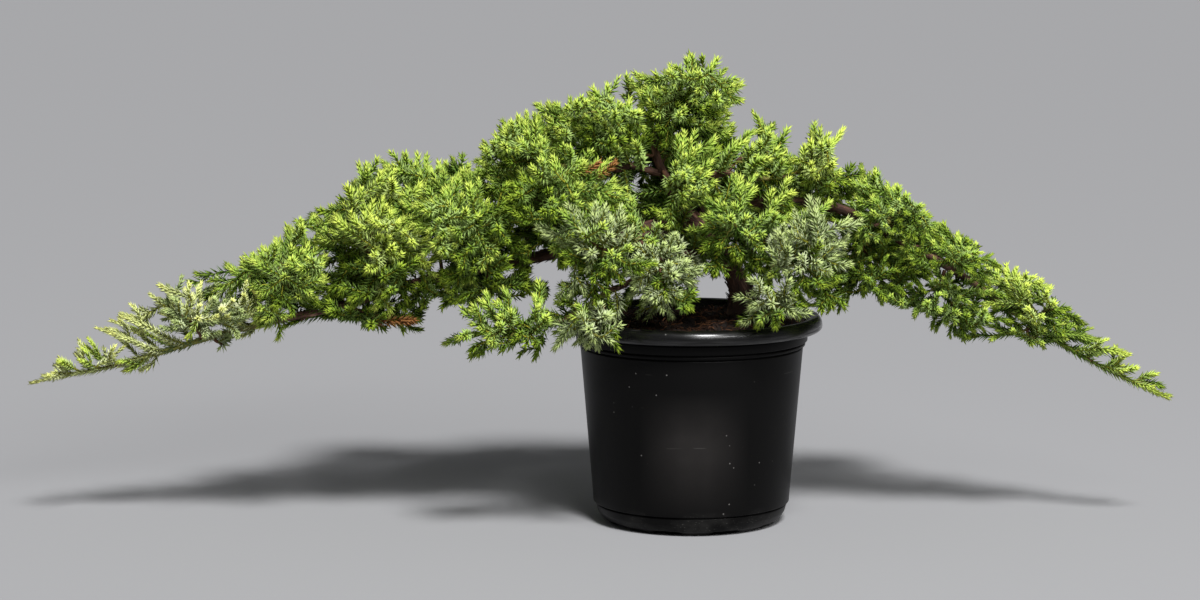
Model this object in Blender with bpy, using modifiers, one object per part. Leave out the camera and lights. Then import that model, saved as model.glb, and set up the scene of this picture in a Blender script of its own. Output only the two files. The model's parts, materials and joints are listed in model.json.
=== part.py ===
"""Potted prostrate juniper: a leaning trunk, long spreading boughs and dense pads of awl needles, in a black
nursery pot full of bark compost.

Metres, +Z up. The origin is the middle of the pot's underside, +X is to the right of the plant's front and
+Y runs towards its back. Every pad of foliage is one closed solid: a stem that starts just clear of its
limb, twigs that branch from it by a seeded rule, and on each twig a slim core that needles stand out of. A
pad keeps to its own ellipsoid of space, so no two pads meet.
"""

import math
import random
from dataclasses import dataclass

import bmesh
import bpy
from mathutils import Matrix, Vector
from mathutils.kdtree import KDTree

# Pot
POT_HEIGHT = 0.132
RIM_RADIUS = 0.0825
LIP_INNER_RADIUS = 0.0755
LIP_HEIGHT = 0.0092
LIP_ROUND = 0.0030
COLLAR_RADIUS = 0.0732
COLLAR_HEIGHT = 0.0068
STEP_RADIUS = 0.0718
STEP_HEIGHT = 0.0030
WALL_TOP_RADIUS = 0.0704
WALL_FOOT_RADIUS = 0.0622
WALL_THICKNESS = 0.0018
SKIRT_HEIGHT = 0.0130
SKIRT_RADIUS = 0.0608
SKIRT_TAPER = 0.0012
SKIRT_CURVE = 0.55
BASE_RADIUS = 0.0525
LIP_DROP = 0.0006
LIP_TUCK = 0.0016
STEP_EASE = 0.0006
FLOOR_THICKNESS = 0.0020
POT_STEPS = 26
ARCH_COUNT = 9
ARCH_WIDTH = 0.0210
ARCH_HEIGHT = 0.0032
ARCH_INNER = 0.0495
ARCH_TURN = math.radians(12.0)
ARCH_SEGMENTS = 20

# Soil
CLEARANCE = 0.0003
SOIL_EDGE_HEIGHT = 0.1262
SOIL_MOUND = 0.0040
SOIL_SEAT_RADIUS = 0.0190
SOIL_RINGS = 5
SOIL_SEGMENTS = 20
SOIL_BUMP = 0.0011
MOUND_REACH = 0.045
BUMPS_BEGIN = 0.012

# Trunk and limbs
TRUNK_FOOT = Vector((0.033, 0.012, SOIL_EDGE_HEIGHT + SOIL_MOUND + CLEARANCE))
TRUNK_RISE = Vector((0.0, 0.0, 0.050))
TRUNK_ARRIVE = Vector((0.0, 0.0, 0.044))
TRUNK_TIP = Vector((-0.0235, 0.010, 0.2420))
TRUNK_FOOT_RADIUS = 0.0074
TRUNK_TIP_RADIUS = 0.0016
FLARE_RADIUS = 0.0050
FLARE_SHARE = 0.20
FLARE_LOBES = 5
LOBE_DEPTH = 0.16
FOOT_CROWDING = 1.25
TRUNK_SIDES = 10
TRUNK_STATIONS = 18
BOUGH_STATION_GAP = 0.030
BOUGH_STATIONS = 5
ROOT_STEP = 0.001
BOUGH_TIP_RADIUS = 0.0012
CROOK = 0.0026
CROOK_WAVES = 2.3
TAPER_POWER = 0.85

# Crown seen from the front: the height of its upper and lower edges, and half its depth, at places along X
ROOF = (
    (-0.424, 0.086), (-0.386, 0.118), (-0.348, 0.149), (-0.300, 0.157), (-0.272, 0.184), (-0.222, 0.221),
    (-0.184, 0.236), (-0.146, 0.234), (-0.121, 0.251), (-0.083, 0.267), (-0.032, 0.285), (-0.007, 0.296),
    (0.031, 0.287), (0.045, 0.257), (0.081, 0.252), (0.094, 0.230), (0.119, 0.228), (0.144, 0.198),
    (0.170, 0.189), (0.220, 0.154), (0.271, 0.107), (0.300, 0.080),
)
FLOOR = (
    (-0.424, 0.080), (-0.386, 0.095), (-0.323, 0.110), (-0.260, 0.113), (-0.190, 0.118), (-0.150, 0.128),
    (-0.121, 0.145), (-0.080, 0.165), (0.060, 0.150), (0.095, 0.138), (0.160, 0.113), (0.220, 0.112),
    (0.260, 0.098), (0.300, 0.077),
)
HALF_DEPTH = (
    (-0.424, 0.010), (-0.386, 0.022), (-0.300, 0.046), (-0.220, 0.068), (-0.120, 0.088), (0.000, 0.098),
    (0.080, 0.090), (0.140, 0.066), (0.210, 0.042), (0.270, 0.022), (0.300, 0.010),
)

# Foliage
SHOOT_WHORLS = 3
WHORL_GAP = 0.0104
NEEDLE_LENGTH = 0.0148
NEEDLES_OPEN = math.radians(58.0)
NEEDLES_CLOSED = math.radians(26.0)
CORE_RADIUS = 0.0021
STALK_RADIUS = 0.0011
STEM_RADIUS = 0.00135
STEM_GAP = 0.00045
STEM_REACH = 0.62
TWIG_SHORTEST = 0.013
TWIG_LONGEST = 0.058
LONE_PAD_SPACING = 0.046
STEM_LEAVE = 0.34
STEM_ARRIVE = 0.30
TWIG_HANDLE = 0.36
TWIG_FORWARD = 0.4
TWIG_LEAN = 0.9
SPACE_MARGIN = 0.0009
LIMB_MARGIN = 0.0009
POT_MARGIN = 0.0015
ROOT_MARGIN = 0.0034
GOLDEN_ANGLE = math.pi * (3.0 - math.sqrt(5.0))
BRANCHING_COSINE = 0.55
LOWEST_SHOOT = -0.75
HIGHEST_SHOOT = 0.85
SHOOT_REACHES = (0.94, 0.80, 0.66, 0.52)
DIRECTION_NUDGE = 0.05
TURN_NUDGE = 0.25
PAD_EDGE = 1.10
SHOOT_SPACING = 0.0128
DIRECTIONS_EACH = 4
FULL_SIZE_PAD = 0.028
SMALLEST_SHOOT = 0.62
MOST_NEEDLED = 0.86
CORE_TAPER = 0.45
NEEDLE_TAPER = 0.25
ROW_OVERLAP = 0.72
ROW_WIDTH = 0.52
LONE_ROW_WIDTH = 0.40
ROW_OUTWARD = 1.2
SHORTEST_PAD = 0.018
NARROWEST_PAD = 0.014
PAD_PROUD = 0.003
UP = Vector((0.0, 0.0, 1.0))
NOWHERE = Vector((0.0, 0.0, 0.0))
AXES = (Vector((0.0, 1.0, 0.0)), Vector((1.0, 0.0, 0.0)), UP)

PLASTIC = ("black_plastic", (0.012, 0.012, 0.013), 0.34)
COMPOST = ("bark_compost", (0.030, 0.016, 0.010), 0.95)
BARK = ("bark", (0.115, 0.055, 0.032), 0.88)
GREENS = {
    "lime": ("lime_needles", (0.30, 0.44, 0.07), 0.55),
    "fresh": ("fresh_needles", (0.17, 0.32, 0.07), 0.55),
    "blue": ("blue_needles", (0.26, 0.38, 0.22), 0.60),
    "deep": ("deep_needles", (0.07, 0.16, 0.035), 0.55),
}


def lerp(a, b, share):
    """The value a share of the way from a to b."""
    return a + (b - a) * share


def read(outline, x):
    """The height or depth that an outline has at x, straight between its places."""
    for (x0, v0), (x1, v1) in zip(outline, outline[1:]):
        if x <= x1:
            return lerp(v0, v1, max(0.0, (x - x0) / (x1 - x0)))
    return outline[-1][1]


def ring(centre, heading, radii, level, turn=0.0):
    """Points round a centre, square to a heading, one for each radius, counted from a level direction."""
    side = level.cross(heading).normalized()
    other = heading.cross(side)
    angles = [turn + 2 * math.pi * k / len(radii) for k in range(len(radii))]
    return [centre + (side * math.cos(a) + other * math.sin(a)) * r for a, r in zip(angles, radii)]


class Path:
    """A cubic curve that leaves its root along one vector and arrives at its tip along another."""

    def __init__(self, root, leave, arrive, tip, crook=0.0, turn=0.0):
        self.handles = (root, root + leave, tip - arrive, tip)
        self.crook = crook
        self.turn = turn

    def at(self, t):
        """The point at t, with a slow crook that dies away at both ends."""
        a, b, c, d = self.handles
        s = 1.0 - t
        spot = a * s**3 + b * (3 * s * s * t) + c * (3 * s * t * t) + d * t**3
        angle = 2 * math.pi * CROOK_WAVES * t + self.turn
        swing = self.crook * math.sin(math.pi * t) ** 2
        return spot + Vector((0.0, math.sin(angle), 0.7 * math.cos(angle))) * swing

    def heading(self, t):
        """The unit direction of growth at t."""
        step = 0.01
        return (self.at(min(1.0, t + step)) - self.at(max(0.0, t - step))).normalized()

    def level(self):
        """The axis that the whole path runs most square to, which its rings are counted from."""
        headings = [self.heading(t) for t in (0.0, 0.5, 1.0)]
        return min(AXES, key=lambda axis: max(abs(axis.dot(heading)) for heading in headings))


@dataclass
class Limb:
    """A trunk or bough: its path, its taper, and where along the path its own wood starts."""

    name: str
    path: Path
    root_radius: float
    tip_radius: float
    flare: float = 0.0
    start: float = 0.0

    def radius(self, t):
        """Half the limb's thickness at t, with the flare at a rooted foot."""
        body = lerp(self.tip_radius, self.root_radius, (1.0 - t) ** TAPER_POWER)
        return body + self.flare * max(0.0, 1.0 - t / FLARE_SHARE) ** 2

    def samples(self, count):
        """Points and radii along the part of the limb that is built."""
        spots = [lerp(self.start, 1.0, k / (count - 1)) for k in range(count)]
        return [(self.path.at(t), self.radius(t)) for t in spots]

    def move_root_clear(self, carrier):
        """Starts the limb's wood where the whole of its cut end is just clear of the limb that carries it."""
        surface = carrier.samples(240)
        level = self.path.level()
        while True:
            radius = self.radius(self.start)
            end = ring(self.path.at(self.start), self.path.heading(self.start), [radius] * 8, level)
            nearest = min((edge - spot).length - reach for edge in end for spot, reach in surface)
            if nearest > CLEARANCE:
                return
            self.start += ROOT_STEP


@dataclass
class Bough:
    """Where one bough leaves the trunk and where it goes."""

    name: str
    trunk_share: float
    leave: Vector
    arrive: Vector
    tip: Vector
    root_radius: float


BOUGHS = (
    Bough("bough_left", 0.56, Vector((-0.110, -0.006, -0.031)), Vector((-0.123, -0.004, -0.038)),
          Vector((-0.352, -0.014, 0.104)), 0.0044),
    Bough("bough_right", 0.50, Vector((0.094, -0.004, 0.042)), Vector((0.094, -0.006, -0.054)),
          Vector((0.245, -0.012, 0.107)), 0.0040),
    Bough("bough_shoulder", 0.80, Vector((-0.028, -0.012, 0.012)), Vector((-0.034, 0.0, 0.006)),
          Vector((-0.092, -0.016, 0.229)), 0.0024),
    Bough("bough_crown_right", 0.72, Vector((0.026, -0.004, 0.018)), Vector((0.030, 0.004, 0.004)),
          Vector((0.056, -0.004, 0.219)), 0.0024),
    Bough("bough_low_left", 0.30, Vector((-0.022, -0.040, 0.018)), Vector((-0.030, -0.012, -0.016)),
          Vector((-0.078, -0.070, 0.139)), 0.0026),
    Bough("bough_front_left", 0.46, Vector((-0.020, -0.030, 0.006)), Vector((-0.020, -0.026, -0.008)),
          Vector((-0.046, -0.062, 0.180)), 0.0026),
    Bough("bough_front_right", 0.40, Vector((0.022, -0.030, 0.018)), Vector((0.016, -0.026, -0.012)),
          Vector((0.058, -0.060, 0.172)), 0.0026),
    Bough("bough_back_left", 0.50, Vector((-0.032, 0.044, -0.006)), Vector((-0.052, 0.012, 0.004)),
          Vector((-0.142, 0.074, 0.186)), 0.0030),
    Bough("bough_back_right", 0.56, Vector((0.040, 0.030, 0.018)), Vector((0.042, 0.016, -0.016)),
          Vector((0.116, 0.060, 0.176)), 0.0028),
    Bough("bough_back", 0.34, Vector((-0.010, 0.034, 0.026)), Vector((-0.008, 0.030, -0.010)),
          Vector((-0.012, 0.078, 0.176)), 0.0026),
)


@dataclass
class Pad:
    """A mass of foliage: the limb it grows on, the ellipsoid it keeps to and the way its shoots lean."""

    name: str
    limb: Limb
    station: float
    centre: Vector
    along: Vector
    half: tuple
    lean: Vector
    shoots: int
    tone: str

    def size(self):
        """How large its shoots are: full size, or smaller in a narrow pad."""
        return min(1.0, max(SMALLEST_SHOOT, min(self.half) / FULL_SIZE_PAD))

    def axes(self):
        """The ellipsoid's three unit directions: along the bough, across it and up."""
        first = self.along.normalized()
        across = UP.cross(first).normalized()
        return first, across, first.cross(across)

    def place(self, unit):
        """A point of the unit ball moved into the ellipsoid."""
        return self.centre + sum((a * (u * h) for a, u, h in zip(self.axes(), unit, self.half)), NOWHERE)

    def depth(self, point):
        """0 at the pad's middle and 1 at its edge, with how fast that grows for each metre."""
        offset = point - self.centre
        shares = [offset.dot(a) / h for a, h in zip(self.axes(), self.half)]
        depth = math.sqrt(sum(s * s for s in shares)) + 1e-6
        slope = math.sqrt(sum((s / h) ** 2 for s, h in zip(shares, self.half))) / depth
        return depth, slope

    def outward(self, point):
        """The ellipsoid's outward direction at a point."""
        offset = point - self.centre
        return sum((a * (offset.dot(a) / h**2) for a, h in zip(self.axes(), self.half)), NOWHERE).normalized()


@dataclass
class Row:
    """A row of pads along a bough, evenly spaced, each fitted between the limb and the crown's outline.

    The side is +1 for pads that stand above the limb and -1 for pads that hang below it. Each entry of
    places is how far off the limb a pad sits, as a share of the crown's half depth. The share of height is
    how near the pad comes to the outline.
    """

    limb: str
    label: str
    side: int
    places: tuple
    count: int
    span: tuple
    height: tuple
    shoots: tuple
    uprightness: tuple
    tones: tuple


ROWS = (
    Row("bough_left", "top_front", 1, (-0.40,), 5, span=(0.26, 0.88), height=(0.74, 1.0), shoots=(5, 4),
        uprightness=(1.1, 0.4), tones=("lime", "lime", "blue")),
    Row("bough_left", "top_back", 1, (0.42,), 4, span=(0.30, 0.78), height=(0.92, 1.0), shoots=(5, 4),
        uprightness=(1.3, 0.6), tones=("lime", "fresh")),
    Row("bough_left", "under", -1, (-0.10,), 3, span=(0.38, 0.86), height=(1.0, 1.0), shoots=(4, 4),
        uprightness=(-0.5, -0.5), tones=("deep", "deep", "blue")),
    Row("bough_right", "top_front", 1, (-0.38,), 3, span=(0.50, 0.88), height=(0.9, 1.0), shoots=(4, 4),
        uprightness=(0.9, 0.3), tones=("fresh",)),
    Row("bough_right", "top_back", 1, (0.42,), 3, span=(0.50, 0.84), height=(0.95, 1.0), shoots=(4, 4),
        uprightness=(1.0, 0.4), tones=("fresh", "deep")),
    Row("bough_right", "under", -1, (-0.05,), 3, span=(0.44, 0.88), height=(1.0, 1.0), shoots=(4, 3),
        uprightness=(-0.4, -0.2), tones=("deep", "fresh")),
    Row("bough_back_left", "top", 1, (0.0,), 1, span=(0.60, 0.60), height=(0.92, 0.92), shoots=(4, 4),
        uprightness=(1.0, 0.7), tones=("fresh",)),
    Row("bough_back_right", "top", 1, (0.0,), 1, span=(0.62, 0.62), height=(0.86, 0.86), shoots=(4, 4),
        uprightness=(0.9, 0.6), tones=("fresh",)),
)


@dataclass
class Tuft:
    """A single pad placed by its middle and half sizes: along X, along Y and up."""

    label: str
    limb: str
    station: float
    shoots: int
    tone: str
    middle: tuple
    half: tuple
    lean: tuple


TUFTS = (
    Tuft("tip_left", "bough_left", 1.0, 5, "blue",
         middle=(-0.391, -0.016, 0.0965), half=(0.042, 0.017, 0.016), lean=(-1.0, 0.0, -0.25)),
    Tuft("tip_right", "bough_right", 1.0, 5, "fresh",
         middle=(0.274, -0.014, 0.0930), half=(0.034, 0.017, 0.016), lean=(1.0, 0.0, -0.5)),
    Tuft("summit", "trunk", 1.0, 7, "lime",
         middle=(0.006, 0.000, 0.2700), half=(0.037, 0.033, 0.032), lean=(0.35, 0.0, 1.0)),
    Tuft("summit_left", "trunk", 0.92, 5, "lime",
         middle=(-0.058, -0.006, 0.2560), half=(0.034, 0.036, 0.028), lean=(-0.5, 0.0, 1.0)),
    Tuft("summit_back", "trunk", 0.86, 4, "fresh",
         middle=(-0.016, 0.050, 0.2450), half=(0.042, 0.034, 0.036), lean=(-0.1, 0.6, 1.0)),
    Tuft("summit_front", "trunk", 0.82, 4, "fresh",
         middle=(-0.014, -0.040, 0.2260), half=(0.034, 0.030, 0.030), lean=(0.0, -0.7, 0.8)),
    Tuft("shoulder", "bough_shoulder", 1.0, 4, "lime",
         middle=(-0.108, -0.016, 0.2420), half=(0.030, 0.034, 0.022), lean=(-0.8, 0.0, 1.0)),
    Tuft("plume_left", "bough_crown_right", 0.55, 4, "fresh",
         middle=(0.050, 0.012, 0.2320), half=(0.024, 0.030, 0.030), lean=(0.1, 0.2, 1.2)),
    Tuft("plume_right", "bough_crown_right", 1.0, 4, "lime",
         middle=(0.083, -0.010, 0.2320), half=(0.026, 0.032, 0.030), lean=(0.6, 0.0, 1.0)),
    Tuft("low_left_tip", "bough_low_left", 1.0, 5, "lime",
         middle=(-0.118, -0.080, 0.1390), half=(0.036, 0.027, 0.027), lean=(-1.0, -0.2, 0.2)),
    Tuft("low_left_hang", "bough_low_left", 0.80, 4, "blue",
         middle=(-0.062, -0.094, 0.1300), half=(0.024, 0.022, 0.026), lean=(0.1, -0.7, -0.7)),
    Tuft("front_left_tip", "bough_front_left", 1.0, 5, "blue",
         middle=(-0.060, -0.080, 0.1860), half=(0.030, 0.028, 0.036), lean=(-0.4, -0.8, 0.3)),
    Tuft("front_left_hang", "bough_front_left", 0.80, 3, "blue",
         middle=(-0.020, -0.068, 0.1640), half=(0.030, 0.024, 0.027), lean=(0.1, -0.8, -0.6)),
    Tuft("front_middle", "bough_front_right", 0.60, 4, "blue",
         middle=(0.020, -0.052, 0.1920), half=(0.028, 0.026, 0.030), lean=(0.1, -0.9, 0.4)),
    Tuft("front_right_tip", "bough_front_right", 1.0, 5, "blue",
         middle=(0.068, -0.078, 0.1780), half=(0.028, 0.026, 0.034), lean=(0.3, -0.8, 0.4)),
    Tuft("front_right_hang", "bough_front_right", 0.90, 3, "blue",
         middle=(0.048, -0.078, 0.1470), half=(0.026, 0.022, 0.018), lean=(0.0, -0.6, -0.8)),
    Tuft("back_left_tip", "bough_back_left", 1.0, 4, "fresh",
         middle=(-0.178, 0.080, 0.2020), half=(0.038, 0.032, 0.032), lean=(-0.9, 0.3, 0.7)),
    Tuft("back_right_tip", "bough_back_right", 1.0, 4, "fresh",
         middle=(0.142, 0.070, 0.1680), half=(0.032, 0.028, 0.026), lean=(0.9, 0.3, 0.3)),
    Tuft("back_tip", "bough_back", 1.0, 4, "fresh",
         middle=(-0.014, 0.104, 0.1760), half=(0.040, 0.032, 0.034), lean=(-0.1, 1.0, 0.1)),
    Tuft("back_upper", "bough_back", 0.70, 4, "deep",
         middle=(0.040, 0.072, 0.2060), half=(0.036, 0.032, 0.032), lean=(0.3, 0.7, 0.7)),
)


def clear_scene():
    """Removes whatever the opened file holds."""
    for thing in list(bpy.data.objects):
        bpy.data.objects.remove(thing, do_unlink=True)


def finish(name, colour, roughness):
    """A plain material, made once and shared by every piece that has it."""
    material = bpy.data.materials.get(name)
    if material is None:
        material = bpy.data.materials.new(name)
        material.use_nodes = True
        shader = material.node_tree.nodes["Principled BSDF"]
        shader.inputs["Base Color"].default_value = (*colour, 1.0)
        shader.inputs["Roughness"].default_value = roughness
        shader.inputs["Metallic"].default_value = 0.0
    return material


def to_object(name, shape, collection, look, smooth_angle=math.radians(40.0)):
    """Turns a bmesh into a finished object of a collection."""
    mesh = bpy.data.meshes.new(name)
    shape.to_mesh(mesh)
    shape.free()
    mesh.materials.append(finish(*look))
    mesh.shade_smooth()
    mesh.set_sharp_from_angle(angle=smooth_angle)
    thing = bpy.data.objects.new(name, mesh)
    collection.objects.link(thing)
    return thing


def pot_outer_profile():
    """Radius and height down the pot's outer side, from its lip's inner edge to the middle of its base."""
    lip_foot = POT_HEIGHT - LIP_HEIGHT
    collar_foot = lip_foot - COLLAR_HEIGHT
    step_foot = collar_foot - STEP_HEIGHT
    turn = [math.radians(a) for a in (90.0, 45.0, 0.0)]
    centre = (RIM_RADIUS - LIP_ROUND, POT_HEIGHT - LIP_ROUND)
    rounded = [(centre[0] + LIP_ROUND * math.cos(a), centre[1] + LIP_ROUND * math.sin(a)) for a in turn]
    return [
        (LIP_INNER_RADIUS, POT_HEIGHT - LIP_DROP),
        *rounded,
        (RIM_RADIUS, lip_foot + LIP_TUCK),
        (RIM_RADIUS - LIP_TUCK, lip_foot),
        (COLLAR_RADIUS, lip_foot),
        (COLLAR_RADIUS, collar_foot),
        (STEP_RADIUS, collar_foot - STEP_EASE),
        (STEP_RADIUS, step_foot),
        (WALL_TOP_RADIUS, step_foot - STEP_EASE),
        (WALL_FOOT_RADIUS, SKIRT_HEIGHT),
        (SKIRT_RADIUS, SKIRT_HEIGHT - STEP_EASE),
        (SKIRT_RADIUS - SKIRT_TAPER, SKIRT_CURVE * SKIRT_HEIGHT),
        (lerp(BASE_RADIUS, SKIRT_RADIUS, SKIRT_CURVE), SKIRT_HEIGHT / 4),
        (BASE_RADIUS, 0.0),
        (0.0, 0.0),
    ]


def pot_inner_profile():
    """Radius and height up the inside of the pot, from the middle of its floor to the lip."""
    neck = POT_HEIGHT - LIP_HEIGHT - COLLAR_HEIGHT - STEP_HEIGHT
    return [
        (0.0, FLOOR_THICKNESS),
        (BASE_RADIUS - WALL_THICKNESS, FLOOR_THICKNESS),
        (lerp(BASE_RADIUS, SKIRT_RADIUS, SKIRT_CURVE) - WALL_THICKNESS, SKIRT_HEIGHT / 3),
        (SKIRT_RADIUS - SKIRT_TAPER - WALL_THICKNESS, SKIRT_CURVE * SKIRT_HEIGHT),
        (WALL_FOOT_RADIUS - WALL_THICKNESS, SKIRT_HEIGHT + STEP_HEIGHT),
        (WALL_TOP_RADIUS - WALL_THICKNESS, neck),
        (STEP_RADIUS - WALL_THICKNESS, neck + STEP_HEIGHT),
        (COLLAR_RADIUS - WALL_THICKNESS, POT_HEIGHT - LIP_HEIGHT),
    ]


def build_pot(collection, cutters):
    """The pot: a turned shell with a rolled lip, its foot notched by a ring of arches."""
    profile = bmesh.new()
    points = pot_inner_profile() + pot_outer_profile()
    corners = [profile.verts.new((radius, 0.0, height)) for radius, height in points]
    for start, end in zip(corners, corners[1:]):
        profile.edges.new((start, end))
    pot = to_object("pot", profile, collection, PLASTIC)
    turned = pot.modifiers.new("turned", "SCREW")
    turned.steps = POT_STEPS
    turned.render_steps = POT_STEPS
    turned.use_merge_vertices = True
    turned.merge_threshold = 0.00001
    arches = build_arches(cutters)
    cut = pot.modifiers.new("arches", "BOOLEAN")
    cut.operation = "DIFFERENCE"
    cut.object = arches
    cut.solver = "EXACT"
    return pot


def build_arches(cutters):
    """The cutter for the arches in the foot: short rods that point outwards, mostly below the base."""
    radius = (ARCH_WIDTH**2 / 4 + ARCH_HEIGHT**2) / (2 * ARCH_HEIGHT)
    length = RIM_RADIUS - ARCH_INNER
    shape = bmesh.new()
    for k in range(ARCH_COUNT):
        turn = Matrix.Rotation(ARCH_TURN + 2 * math.pi * k / ARCH_COUNT, 4, "Z")
        out = Matrix.Translation((ARCH_INNER + length / 2, 0.0, ARCH_HEIGHT - radius))
        lie = Matrix.Rotation(math.pi / 2, 4, "Y")
        bmesh.ops.create_cone(
            shape, cap_ends=True, segments=ARCH_SEGMENTS, radius1=radius, radius2=radius, depth=length,
            matrix=turn @ out @ lie,
        )
    arches = to_object("arch_cutter", shape, cutters, PLASTIC)
    arches.hide_render = True
    arches.display_type = "WIRE"
    return arches


def soil_height(x, y):
    """The height of the compost: a low mound round the trunk's foot, uneven elsewhere."""
    from_trunk = math.hypot(x - TRUNK_FOOT.x, y - TRUNK_FOOT.y)
    off_seat = max(0.0, from_trunk - SOIL_SEAT_RADIUS)
    mound = SOIL_MOUND * (1.0 - min(1.0, off_seat / MOUND_REACH)) ** 2
    bumps = math.sin(170 * x + 40 * y + 0.5) + math.sin(130 * y - 90 * x + 1.9)
    return SOIL_EDGE_HEIGHT + mound + SOIL_BUMP * bumps * min(1.0, off_seat / BUMPS_BEGIN)


def build_soil(collection):
    """The compost that fills the pot, clear of its wall, with a flat seat under the trunk."""
    flat = math.cos(math.pi / POT_STEPS)
    wall = [(radius * flat - CLEARANCE, height) for radius, height in pot_inner_profile()[1:-1]]
    wall[0] = (wall[0][0], FLOOR_THICKNESS + CLEARANCE)
    edge = (COLLAR_RADIUS - WALL_THICKNESS) * flat - CLEARANCE
    shape = bmesh.new()
    angles = [2 * math.pi * k / SOIL_SEGMENTS for k in range(SOIL_SEGMENTS)]
    rings = [[shape.verts.new((r * math.cos(a), r * math.sin(a), z)) for a in angles] for r, z in wall]
    centre = Vector((TRUNK_FOOT.x, TRUNK_FOOT.y, 0.0))
    spans = [k / (SOIL_RINGS - 1) for k in range(SOIL_RINGS)]
    top = []
    for share in reversed(spans):
        loop = []
        for a in angles:
            inner = centre + Vector((math.cos(a), math.sin(a), 0.0)) * SOIL_SEAT_RADIUS
            outer = Vector((math.cos(a), math.sin(a), 0.0)) * edge
            spot = inner.lerp(outer, share)
            loop.append(shape.verts.new((spot.x, spot.y, soil_height(spot.x, spot.y))))
        top.append(loop)
    rings += top
    for lower, upper in zip(rings, rings[1:]):
        for k in range(SOIL_SEGMENTS):
            nxt = (k + 1) % SOIL_SEGMENTS
            shape.faces.new((lower[k], lower[nxt], upper[nxt], upper[k]))
    shape.faces.new(list(reversed(rings[0])))
    shape.faces.new(rings[-1])
    return to_object("soil", shape, collection, COMPOST)


def build_trunk(trunk, collection):
    """The trunk: a loft of rings, lobed where the roots flare at the flat cut on the compost."""
    shape = bmesh.new()
    loops = []
    for k in range(TRUNK_STATIONS):
        t = (k / (TRUNK_STATIONS - 1)) ** FOOT_CROWDING
        lobes = LOBE_DEPTH * max(0.0, 1.0 - t / FLARE_SHARE)
        turns = [2 * math.pi * j / TRUNK_SIDES for j in range(TRUNK_SIDES)]
        radii = [trunk.radius(t) * (1.0 + lobes * math.cos(FLARE_LOBES * a)) for a in turns]
        heading = UP if k == 0 else trunk.path.heading(t)
        loops.append([shape.verts.new(p) for p in ring(trunk.path.at(t), heading, radii, trunk.path.level())])
    for lower, upper in zip(loops, loops[1:]):
        for j in range(TRUNK_SIDES):
            nxt = (j + 1) % TRUNK_SIDES
            shape.faces.new((lower[j], lower[nxt], upper[nxt], upper[j]))
    shape.faces.new(list(reversed(loops[0])))
    shape.faces.new(loops[-1])
    bmesh.ops.recalc_face_normals(shape, faces=shape.faces)
    return to_object("trunk", shape, collection, BARK, math.radians(50.0))


def build_bough(limb, collection):
    """A bough: a curve with filled caps whose bevel tapers towards the tip."""
    curve = bpy.data.curves.new(limb.name, "CURVE")
    curve.dimensions = "3D"
    curve.bevel_depth = 1.0
    curve.bevel_resolution = 1
    curve.use_fill_caps = True
    spline = curve.splines.new("POLY")
    run = (limb.path.at(1.0) - limb.path.at(limb.start)).length
    stations = BOUGH_STATIONS + round(run / BOUGH_STATION_GAP)
    spline.points.add(stations - 1)
    for point, (spot, radius) in zip(spline.points, limb.samples(stations)):
        point.co = (*spot, 1.0)
        point.radius = radius
    curve.materials.append(finish(*BARK))
    bough = bpy.data.objects.new(limb.name, curve)
    collection.objects.link(bough)
    return bough


class Space:
    """Which points each pad's foliage may use."""

    def __init__(self, pads, limbs):
        self.pads = pads
        self.wood = [(spot, radius, None) for limb in limbs for spot, radius in limb.samples(90)]

    def add_stem(self, pad, path):
        """Keeps every other pad's foliage off this pad's stem."""
        self.wood += [(path.at(k / 24), STEM_RADIUS, pad) for k in range(25)]

    def sort(self):
        """Makes the wood quick to search, once all of it is known."""
        self.tree = KDTree(len(self.wood))
        for k, (spot, _, _) in enumerate(self.wood):
            self.tree.insert(spot, k)
        self.tree.balance()
        self.widest = max(radius for _, radius, _ in self.wood)

    def clear_of_wood(self, pad, point):
        """True where a point lies clear of every limb and of the other pads' stems."""
        for _, k, distance in self.tree.find_range(point, self.widest + LIMB_MARGIN):
            _, radius, owner = self.wood[k]
            if owner is not pad and distance < radius + LIMB_MARGIN:
                return False
        return True

    def clear_of_pot(self, point):
        """True where a point lies outside the pot and above its compost."""
        radius = math.hypot(point.x, point.y)
        if radius > RIM_RADIUS + POT_MARGIN:
            return True
        if radius > COLLAR_RADIUS - WALL_THICKNESS - POT_MARGIN:
            return point.z > POT_HEIGHT + POT_MARGIN
        return point.z > soil_height(point.x, point.y) + POT_MARGIN

    def allows(self, pad, point):
        """True where a point is this pad's own: inside its ellipsoid and further inside than any other's."""
        depth, slope = pad.depth(point)
        if depth > PAD_EDGE:
            return False
        for other in self.pads:
            if other is pad or (other.centre - point).length > max(other.half):
                continue
            theirs, their_slope = other.depth(point)
            if theirs - depth < SPACE_MARGIN * (slope + their_slope):
                return False
        return self.clear_of_pot(point) and self.clear_of_wood(pad, point)


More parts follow.
